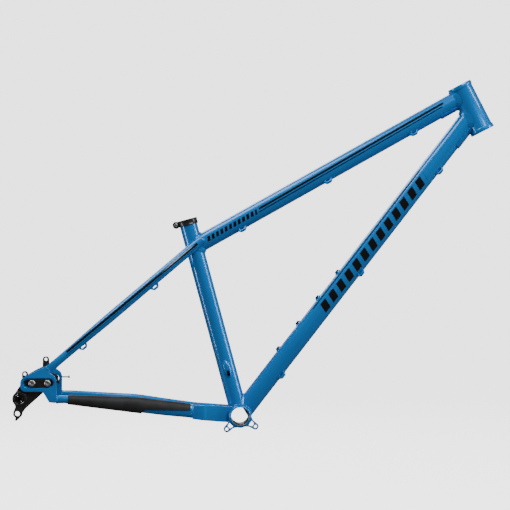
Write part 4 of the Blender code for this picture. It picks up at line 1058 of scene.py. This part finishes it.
def dropout_slider(side):
    """A sliding dropout: its plate, the boss round the axle, the key and the pads of its tabs."""
    name = side_name(side)
    body = f"dropout_{name}"
    outline = SLIDER_RIGHT_OUTLINE if side == DRIVE else SLIDER_LEFT_OUTLINE
    bore = AXLE_BORES[side]
    tabs = (HANGER_HOLE,) if side == DRIVE else BRAKE_TABS
    hole_r, pad_r, rise = HANGER_PAD if side == DRIVE else BRAKE_PAD
    holes = [circle(AXLE.x, AXLE.z, bore, 64)] + [circle(x, z, hole_r) for x, z in tabs]
    shape = plate([rounded(outline)] + holes + bolt_holes(), SLIDER_OUT - SLIDER_IN,
                  side_view(side * (SLIDER_IN + SLIDER_OUT) / 2), 0.0007)
    blackened(f"dropout_slider_{name}_plate", shape, body, f"dropout_slider_{name}")
    root = SLIDER_OUT - 0.001               # boss and key start inside the plate
    boss = ((bore + 0.0006, BOSS_OUT - 0.0001), (bore, BOSS_OUT - 0.0007), (bore, root),
            (BOSS_R, root), (BOSS_R, BOSS_OUT - 0.0013), (BOSS_R - 0.0014, BOSS_OUT - 0.0001),
            (BOSS_R - 0.0019, BOSS_OUT), (bore + 0.0009, BOSS_OUT))
    blackened(f"dropout_slider_{name}_boss", turned(boss, AXLE, SIDE * side), body)
    key = plate([stadium(BOLT_MID - KEY_HALF, BOLT_MID + KEY_HALF, SLOT_Z, KEY_R)]
                + bolt_holes(), KEY_OUT - root, side_view(side * (KEY_OUT + root) / 2), 0.0003)
    blackened(f"dropout_slider_{name}_key", key, body)
    face = SLIDER_OUT if side == DRIVE else SLIDER_IN
    for index, (x, z) in enumerate(tabs, 1):
        low, high = sorted((face - rise * 0.8, face + rise))
        pad = ((hole_r, high), (hole_r, low), (pad_r, low), (pad_r, high - 0.0002),
               (pad_r - 0.0002, high))
        blackened(f"dropout_slider_{name}_pad_{index}",
                  turned(pad, (x, 0, z), SIDE * side, SMALL), body)


def clamp_plate(side):
    name = side_name(side)
    low, high = LEDGE + GAP, CLAMP_OUT
    shape = plate([stadium(BOLT_MID - CLAMP_HALF, BOLT_MID + CLAMP_HALF, SLOT_Z, CLAMP_R)]
                  + bolt_holes(), high - low, side_view(side * (low + high) / 2), 0.0004)
    blackened(f"clamp_plate_{name}_skin", shape, f"dropout_{name}", f"clamp_plate_{name}")


# head radius and height, shank radius and length, socket radius
SLIDER_BOLT = (0.0065, 0.0042, 0.0039, 0.0120, 0.0029)
COLLAR_BOLT = (0.0042, 0.0040, 0.0024, 0.0158, 0.0019)
BOTTLE_BOLT = (0.0046, 0.0026, 0.0024, 0.0120, 0.0015)


def bolt(name, head_centre, direction, size, body, material, slot, sides=64):
    """A button-head bolt: a domed head with a soft edge, a six-sided socket and its shank."""
    head_r, head_h, shank_r, shank, socket_r = size
    profile = [(0, head_h)]
    for step in range(9):
        turn = math.radians(90 * step / 8)
        profile.append((head_r * 0.62 + head_r * 0.38 * math.sin(turn),
                        head_h * 0.45 + head_h * 0.55 * math.cos(turn)))
    profile += [(head_r, 0.0003), (head_r - 0.0003, 0), (shank_r, 0), (shank_r, -shank),
                (0, -shank)]
    direction = Vector(direction).normalized()
    piece = show(name + "_skin", turned(profile, head_centre, direction, sides), body, material,
                 slot, name)
    start = Vector(head_centre) + direction * head_h * 0.35
    cut(piece, rod(socket_r, 0, 0.02, start, direction, 6))
    chamfer = turned(((0, 0.01), (socket_r + 0.01, 0.01), (socket_r * 0.95, 0), (0, 0)),
                     Vector(head_centre) + direction * (head_h - 0.00035), direction, sides)
    cut(piece, chamfer)


def fasteners(side):
    """The two bolts that clamp a slider, and the tension screw in front of it."""
    name = side_name(side)
    for x, place in zip(BOLT_X, ("rear", "front")):
        bolt(f"slider_bolt_{name}_{place}", (x, side * (CLAMP_OUT + GAP), SLOT_Z), (0, side, 0),
             SLIDER_BOLT, f"dropout_{name}", STEEL, "polished_steel")
    neck = SCREW_NECKS[side]
    tip = BOLT_MID + KEY_HALF + TRAVEL_FRONT + GAP
    thread, pitch, head = SCREW_R, SCREW_PITCH, SCREW_HEAD_R
    profile = [(0, head + 0.0002), (head * 0.7, head + 0.0001), (head * 0.93, head - 0.0004),
               (head, head - 0.0009), (head, 0.0006), (head * 0.8, 0), (thread, 0)]
    for turn in range(int((neck - tip) / pitch)):
        profile += [(thread, -pitch * (turn + 0.2)), (thread * 0.84, -pitch * (turn + 0.6))]
    profile += [(thread * 0.8, tip - neck), (0, tip - neck)]
    show(f"adjuster_screw_{name}_skin",
         turned(profile, (neck, side * SCREW_Y, SCREW_Z), (1, 0, 0), 32), f"adjuster_{name}",
         DARK, "black_steel", f"adjuster_screw_{name}")


AXLE_R = 0.0060
AXLE_HEAD_R = 0.0098
AXLE_HEAD = 0.0050
NUT_BORE = 0.0063
NUT_R = 0.0095
NUT_LIP = 0.0012                # radius of its rounded lip


def axle_and_nut():
    """The through axle, its head on the left, and the threaded nut in the drive-side slider."""
    head_in, end = BOSS_OUT + GAP, BOSS_OUT + 0.0004
    head_out = head_in + AXLE_HEAD
    profile = [(0, head_out), (AXLE_HEAD_R - 0.0020, head_out),
               (AXLE_HEAD_R - 0.0012, head_out - 0.0002), (AXLE_HEAD_R - 0.0003, head_out - 0.0008),
               (AXLE_HEAD_R, head_out - 0.0016), (AXLE_HEAD_R, head_in), (AXLE_R, head_in),
               (AXLE_R, -end + 0.0006), (AXLE_R - 0.0006, -end), (0, -end)]
    axle = show("thru_axle_skin", turned(profile, AXLE, SIDE, 72), "axle", DARK, "black_steel",
                "thru_axle")
    cut(axle, rod(0.0034, 0.0835, 0.1, AXLE, SIDE, 6))          # hexagon socket in the head
    cut(axle, rod(0.0027, -0.1, -0.07, AXLE, SIDE, 40))         # hollow threaded end
    low, high = SLIDER_IN + 0.0005, BOSS_OUT + 0.0002
    lip_low, lip_middle = high - NUT_LIP, NUT_R - 0.0001 - NUT_LIP
    ring = [(NUT_BORE, low), (NUT_BORE, lip_low), (lip_middle - NUT_LIP, lip_low)]
    for step in range(9):
        turn = math.pi * (1 - step / 8)
        ring.append((lip_middle + NUT_LIP * math.cos(turn), lip_low + NUT_LIP * math.sin(turn)))
    ring += [(NUT_R, lip_low - 0.0002), (NUT_R, low)]
    show("axle_nut_right_skin", turned(ring, AXLE, -SIDE, 72), "dropout_right", DARK,
         "black_steel", "axle_nut_right")


# --------------------------------------------------------------------------- small parts
ISCG_RADIUS = 0.0365
ISCG_ANGLES = (224.4, 326.4)
ISCG_EAR_R = 0.00588
ISCG_EAR_ROOTS = ((0.0226, 34.0, 0.0), (0.0262, 17.0, 0.010))
ISCG_WINDOW = ((0.0246, 13.0, 0.0010), (0.0312, 5.5, 0.0010))
ISCG_IN = 0.0280
ISCG_OUT = 0.0335
ISCG_RING_R = 0.0236
ISCG_HOLE_R = 0.0031


def polar(radius, angle):
    return Vector((radius * math.cos(math.radians(angle)), radius * math.sin(math.radians(angle))))


def chain_guide_mount(welds):
    """One plate whose two ears grow out of a ring round the shell, with hollow flanks."""
    outline, windows = [], []
    for order, angle in enumerate(sorted(ISCG_ANGLES)):
        outward = polar(1, angle)
        sideways = Vector((-outward.y, outward.x))
        centre = outward * ISCG_RADIUS
        low = [(*polar(r, angle - turn), fillet or 0.003) for r, turn, fillet in ISCG_EAR_ROOTS]
        high = [(*polar(r, angle + turn), fillet or 0.003)
                for r, turn, fillet in reversed(ISCG_EAR_ROOTS)]
        tip = [(*(centre + (outward + sideways * side) * ISCG_EAR_R), ISCG_EAR_R * 0.97)
               for side in (-1, 1)]
        outline += low + tip + high
        following = ISCG_ANGLES[1] if order == 0 else ISCG_ANGLES[0] + 360
        first, last = angle + 46, following - 46
        count = round((last - first) / 22)
        turns = [step / count for step in range(count + 1)] if count else [0.5]
        outline += [(*polar(ISCG_RING_R / math.cos(math.radians(6)),
                            first + (last - first) * turn), 0.012) for turn in turns]
        windows.append(rounded([(*polar(r, angle + turn * side), fillet) for side, pair in (
            (-1, ISCG_WINDOW), (1, ISCG_WINDOW[::-1])) for r, turn, fillet in pair], 40))
        windows.append(circle(centre.x, centre.y, ISCG_HOLE_R))
    shape = plate([rounded(outline, 96), circle(0, 0, SHELL_R - OVERLAP, ROUND)] + windows,
                  ISCG_OUT - ISCG_IN, side_view(-(ISCG_IN + ISCG_OUT) / 2), 0.0005)
    painted("iscg_plate_skin", shape, "iscg_plate")
    ring = [(radial * SHELL_R - SIDE * ISCG_OUT, radial, -SIDE) for radial in spokes(SIDE)]
    bead(welds, ring, GUIDE_PLATE_LEG)


COLLAR_HEIGHT = 0.0118
COLLAR_LOW = SEAT_LENGTH - COLLAR_HEIGHT
COLLAR_MIDDLE = SEAT_UP * (COLLAR_LOW + COLLAR_HEIGHT / 2)
COLLAR_R = 0.0203
COLLAR_LUG = 0.0236             # from the seat tube's axis to the bolt's axis
COLLAR_EAR_R = 0.0071
COLLAR_EAR_WIDTH = 0.0080
COLLAR_SPLIT = 0.0030
COLLAR_SEAT = 0.0068            # from the centre plane to the bolt's head and the nut


def seat_collar():
    """The split ring, its two ears, the pinch bolt and the nut."""
    height, radius, edge = COLLAR_HEIGHT, COLLAR_R, 0.0009
    bore = TUBE_R + GAP
    profile = ((radius - edge, height), (radius - edge * 0.3, height - edge * 0.3),
               (radius, height - edge), (radius - 0.0007, height - 0.0032),
               (radius - 0.0007, 0.0032), (radius, edge), (radius - edge * 0.3, edge * 0.3),
               (radius - edge, 0), (bore + 0.0003, 0), (bore, 0.0003), (bore, height - 0.0003),
               (bore + 0.0003, height))
    collar = blackened("seat_collar_ring", turned(profile, SEAT_UP * COLLAR_LOW, SEAT_UP),
                       "collar", "seat_collar")
    cut(collar, plate([[(0.012, -0.02), (0.05, -0.02), (0.05, 0.02), (0.012, 0.02)]],
                      COLLAR_SPLIT, placed(BEHIND, SEAT_UP, COLLAR_MIDDLE), 0.00005))
    root, half = 0.0181, height / 2 - 0.0006
    outline = [Vector((root, half)), Vector((root, -half))]
    outline += [Vector((COLLAR_LUG + COLLAR_EAR_R * math.cos(turn), COLLAR_EAR_R * math.sin(turn)))
                for turn in (math.radians(-90 + 180 * step / 40) for step in range(41))]
    centre = COLLAR_MIDDLE + BEHIND * COLLAR_LUG
    for side in (DRIVE, LEFT):
        middle = COLLAR_MIDDLE + SIDE * side * (COLLAR_SPLIT + COLLAR_EAR_WIDTH) / 2
        ear = plate([outline], COLLAR_EAR_WIDTH, placed(BEHIND, SEAT_UP, middle), 0.0006)
        piece = blackened(f"seat_collar_ear_{side_name(side)}", ear, "collar")
        cut(piece, rod(0.0046, 0.0065, 0.02, centre, SIDE * side))         # seat of the head
        cut(piece, rod(0.0029, 0, 0.01, centre, SIDE * side, 40))
    bolt("collar_bolt", centre - SIDE * COLLAR_SEAT, -SIDE, COLLAR_BOLT, "collar_bolt", STEEL,
         "polished_steel", 40)
    nut = ((0.0038, 0.0030), (0.0042, 0.0026), (0.0042, 0), (0.0027, 0), (0.0027, 0.0030))
    show("collar_nut_skin", turned(nut, centre + SIDE * COLLAR_SEAT, SIDE, 40), "collar", STEEL,
         "polished_steel", "collar_nut")


BOTTLE_FIRST = 0.1508
BOTTLE_PITCH = 0.064
BOSS_PROFILE = ((0.0056, 0.0018), (0.0061, 0.0016), (0.0062, 0.0012), (0.0062, -0.0020),
                (0.0028, -0.0020), (0.0028, 0.0018))


def bottle_bosses(welds):
    for number in range(1, 5):
        distance = BOTTLE_FIRST + BOTTLE_PITCH * (number - 1)
        base = DOWN_ALONG * distance + DOWN_UP * DOWN_TUBE_R
        painted(f"bottle_boss_{number}_skin", turned(BOSS_PROFILE, base, DOWN_UP, SMALL),
                f"bottle_boss_{number}")
        ring = []
        for radial in spokes(DOWN_UP, SMALL):
            start = base + DOWN_UP * 0.01 + radial * 0.0061
            point = start - DOWN_UP * first_hit(start, -DOWN_UP, DOWN)
            ring.append((point, radial, away(DOWN, point)))
        bead(welds, ring, BOSS_LEG)
        bolt(f"bottle_bolt_{number}", base + DOWN_UP * (BOSS_PROFILE[0][1] + GAP), DOWN_UP,
             BOTTLE_BOLT, "frame", DARK, "black_steel", 40)


GUIDE_LENGTH = 0.0180
GUIDE_HEIGHT = 0.0072
GUIDE_WIDTH = 0.0060
GUIDE_FOOT = 0.0022             # how far the bridge reaches under the tube's skin
GUIDE_SLOT_HALF = 0.0045
GUIDE_SLOT = (0.0004, 0.0035)   # its lower and upper edge
GUIDE_TURN = 35.0               # degrees round the tube from straight below
HOSE_R = 0.0026
TOP_GUIDES = (0.1005, 0.2955, 0.4905)       # distances along the tube
DOWN_GUIDES = (0.1140, 0.3700, 0.6260)


def cable_guide(name, base, tangent, outward):
    """A rounded bridge brazed to a tube, with a tie slot beneath and a hose channel on top."""
    half, shoulder = GUIDE_LENGTH / 2, GUIDE_HEIGHT * 0.30
    crown = half * 0.52
    outline = rounded(((-half, -GUIDE_FOOT, 0), (-half, shoulder, 0.0022),
                       (-crown, GUIDE_HEIGHT, 0.0034), (crown, GUIDE_HEIGHT, 0.0034),
                       (half, shoulder, 0.0022), (half, -GUIDE_FOOT, 0)), 48)
    low, high = GUIDE_SLOT
    slot = rounded(((-GUIDE_SLOT_HALF, low, 0.0008), (-GUIDE_SLOT_HALF, high, 0.0012),
                    (GUIDE_SLOT_HALF, high, 0.0012), (GUIDE_SLOT_HALF, low, 0.0008)), 32)
    shape = plate([outline, slot], GUIDE_WIDTH, placed(tangent, outward, base), 0.0008)
    piece = painted(name + "_skin", shape, name)
    start = base + outward * (GUIDE_HEIGHT + 0.0021) - tangent * 0.03
    cut(piece, rod(HOSE_R, 0, 0.06, start, tangent, 32))


def turned_down(tangent):
    """Outwards from a tube, on its underside and a little towards the drive side."""
    down = tangent.cross(SIDE)
    if down.z > 0:
        down.negate()
    turn = math.radians(GUIDE_TURN)
    return (down * math.cos(turn) - SIDE * math.sin(turn)).normalized()


def cable_guides():
    for kind, distances, tube in (("top_tube_guide", TOP_GUIDES, TOP),
                                  ("down_tube_guide", DOWN_GUIDES, DOWN)):
        origin, along, radius = tube
        outward = turned_down(along)
        for number, distance in enumerate(distances, 1):
            cable_guide(f"{kind}_{number}", origin + along * distance + outward * radius, along,
                        outward)


PORT_HOLE = 0.0870              # distances up the seat tube
PORT_COVER = 0.0955
PORT_HALF = (0.0078, 0.0060, 0.0190)
PORT_HOLE_HALF = (0.0060, 0.0028)


def port_slot():
    centre = SEAT_UP * PORT_HOLE - SIDE * TUBE_R
    forward = Vector((SEAT_UP.z, 0, -SEAT_UP.x))
    length, radius = PORT_HOLE_HALF
    return plate([stadium(-length, length, 0, radius, 12)], 0.030,
                 placed(SEAT_UP, forward, centre), 0.0001)


def cable_port():
    """A teardrop cover over the hole where a hose enters the seat tube."""
    shape = bmesh.new()
    bmesh.ops.create_uvsphere(shape, u_segments=64, v_segments=40, radius=1.0)
    bmesh.ops.scale(shape, vec=PORT_HALF, verts=shape.verts)
    forward = Vector((SEAT_UP.z, 0, -SEAT_UP.x))
    centre = SEAT_UP * PORT_COVER - SIDE * (TUBE_R - 0.0020)
    bmesh.ops.transform(shape, matrix=placed(forward, SEAT_UP.cross(forward), centre),
                        verts=shape.verts)
    cover = painted("cable_port_skin", shape, "cable_port")
    cut(cover, cylinder_shape(SEAT, 0.05, 0.15, -OVERLAP))
    cut(cover, port_slot())


GUSSET_THICK = 0.0022
# name: tube, its up direction, start and length along it, and the degrees it wraps
GUSSETS = {"down_tube_gusset": (DOWN, DOWN_UP, 0.6850, 0.060, 110),
           "top_tube_gusset": (TOP, TOP_UP, 0.5535, 0.050, 90)}


def gusset(name):
    """A thin curved plate that thickens a tube's underside next to the head tube."""
    (origin, tangent, radius), up, start, length, spread = GUSSETS[name]
    outward, steps = -up, 40
    outline = []
    for r, order in ((radius - OVERLAP, 1), (radius + GUSSET_THICK, -1)):
        for step in range(steps + 1):
            angle = math.radians(order * spread * (step / steps - 0.5))
            outline.append(Vector((r * math.cos(angle), r * math.sin(angle))))
    matrix = placed(outward, tangent.cross(outward), origin + tangent * (start + length / 2))
    piece = painted(name + "_skin", plate([outline], length, matrix, 0.0005), name)
    cut(piece, cylinder_shape(HEAD, -0.12, 0.02, -OVERLAP))


def paint_leftovers():
    """CAD nodes that still show take the finish of their slot."""
    finishes = {"blue_paint": BLUE, "black_anodised": BLACK, "polished_steel": STEEL,
                "black_steel": DARK, "black_rubber": RUBBER}
    slots = {part["node"]: part["material_slot"] for part in frame["record"]["subparts"]}
    for name, node in frame["nodes"].items():
        if not node.hide_render:
            node.data.materials.clear()
            node.data.materials.append(finishes[slots[name]])


def build():
    head_tube()
    main_tubes()
    bottom_bracket_shell()
    welds = bmesh.new()
    chainstays(welds)
    seatstays(welds)
    yoke()
    yoke_welds(welds)
    bridges(welds)
    chain_guide_mount(welds)
    bottle_bosses(welds)
    painted("stay_welds", welds)
    protector()
    for side in (DRIVE, LEFT):
        dropout_hood(side)
        dropout_slider(side)
        clamp_plate(side)
        fasteners(side)
    axle_and_nut()
    seat_collar()
    cable_guides()
    cable_port()
    for name in GUSSETS:
        gusset(name)
    paint_leftovers()


# --------------------------------------------------------------------------- studio
FLOOR_Z = -0.31
SWEEP_FLAT = 5.0                # radius of the flat part of the floor
SWEEP_TURN = 2.0                # radius of the curve up into the wall
WALL_TOP = 7.0
PAPER_GLOW = 2.6
WORLD_GLOW = 0.12
OBJECT_MIDDLE = (0, 0, 0.3)
# place, size and radiance of each softbox
SOFTBOXES = {"front": ((1.5, -2.8, 3.2), (2.6, 2.0), 7.5),
             "overhead": ((-1.6, -0.6, 3.1), (1.6, 1.3), 5.0),
             "rear": ((-1.0, 3.2, 2.8), (3.0, 1.8), 5.0),
             "strip_left": ((-3.3, -0.7, 0.1), (0.6, 2.0), 8.0),
             "strip_right": ((3.3, -0.7, 0.8), (0.6, 2.6), 8.0)}
CAMERA_PLACE = (-0.0789, -4.1986, 0.3175)
CAMERA_AIM = (0.0303, 0, 0.3175)
CAMERA_LENS = 149.36
SENSOR = 36.0


def studio():
    """A pale paper sweep: floor, curve and wall all round. It doesn't light the object."""
    nodes = Nodes("studio_paper", (0.90, 0.90, 0.90), 0.0, 0.9)
    grain = nodes.noise(3.0, 2.0)
    paper = nodes.finish(Base_Color=nodes.mix(grain, (0.90, 0.90, 0.90), (0.88, 0.88, 0.885)),
                         Emission_Color=(1.0, 1.0, 1.0, 1.0), Emission_Strength=PAPER_GLOW)
    profile = [(0, 0), (SWEEP_FLAT, 0)]
    for step in range(1, 13):
        turn = math.radians(90 * step / 12)
        profile.append((SWEEP_FLAT + SWEEP_TURN * math.sin(turn),
                        SWEEP_TURN * (1 - math.cos(turn))))
    profile += [(SWEEP_FLAT + SWEEP_TURN, WALL_TOP), (0, WALL_TOP)]
    shape = turned(profile, (0, 0, FLOOR_Z), (0, 0, 1), 128)
    mesh = to_mesh("studio_sweep", shape)
    mesh.flip_normals()
    mesh.shade_smooth()
    mesh.materials.append(paper)
    sweep = linked("studio_sweep", mesh)
    sweep.visible_diffuse = sweep.visible_glossy = sweep.visible_shadow = False
    world = bpy.data.worlds.new("studio_light")
    bpy.context.scene.world = world
    world.use_nodes = True
    sky = world.node_tree.nodes["Background"]
    sky.inputs["Color"].default_value = (1.0, 1.0, 1.0, 1)
    sky.inputs["Strength"].default_value = WORLD_GLOW


def aimed(name, data, place, target):
    thing = linked(name, data)
    thing.location = place
    thing.rotation_euler = (Vector(target) - Vector(place)).to_track_quat('-Z', 'Y').to_euler()
    return thing


def lights():
    """Softboxes high in front, over and behind, and a tall strip on each side."""
    for name, (place, size, radiance) in SOFTBOXES.items():
        light = bpy.data.lights.new(name, 'AREA')
        light.shape = 'RECTANGLE'
        light.size, light.size_y = size
        light.energy = radiance * math.pi * size[0] * size[1]
        aimed(name, light, place, OBJECT_MIDDLE)


def camera():
    data = bpy.data.cameras.new("camera")
    data.sensor_width = SENSOR
    data.lens = CAMERA_LENS
    bpy.context.scene.camera = aimed("camera", data, CAMERA_PLACE, CAMERA_AIM)


build()
studio()
lights()
camera()
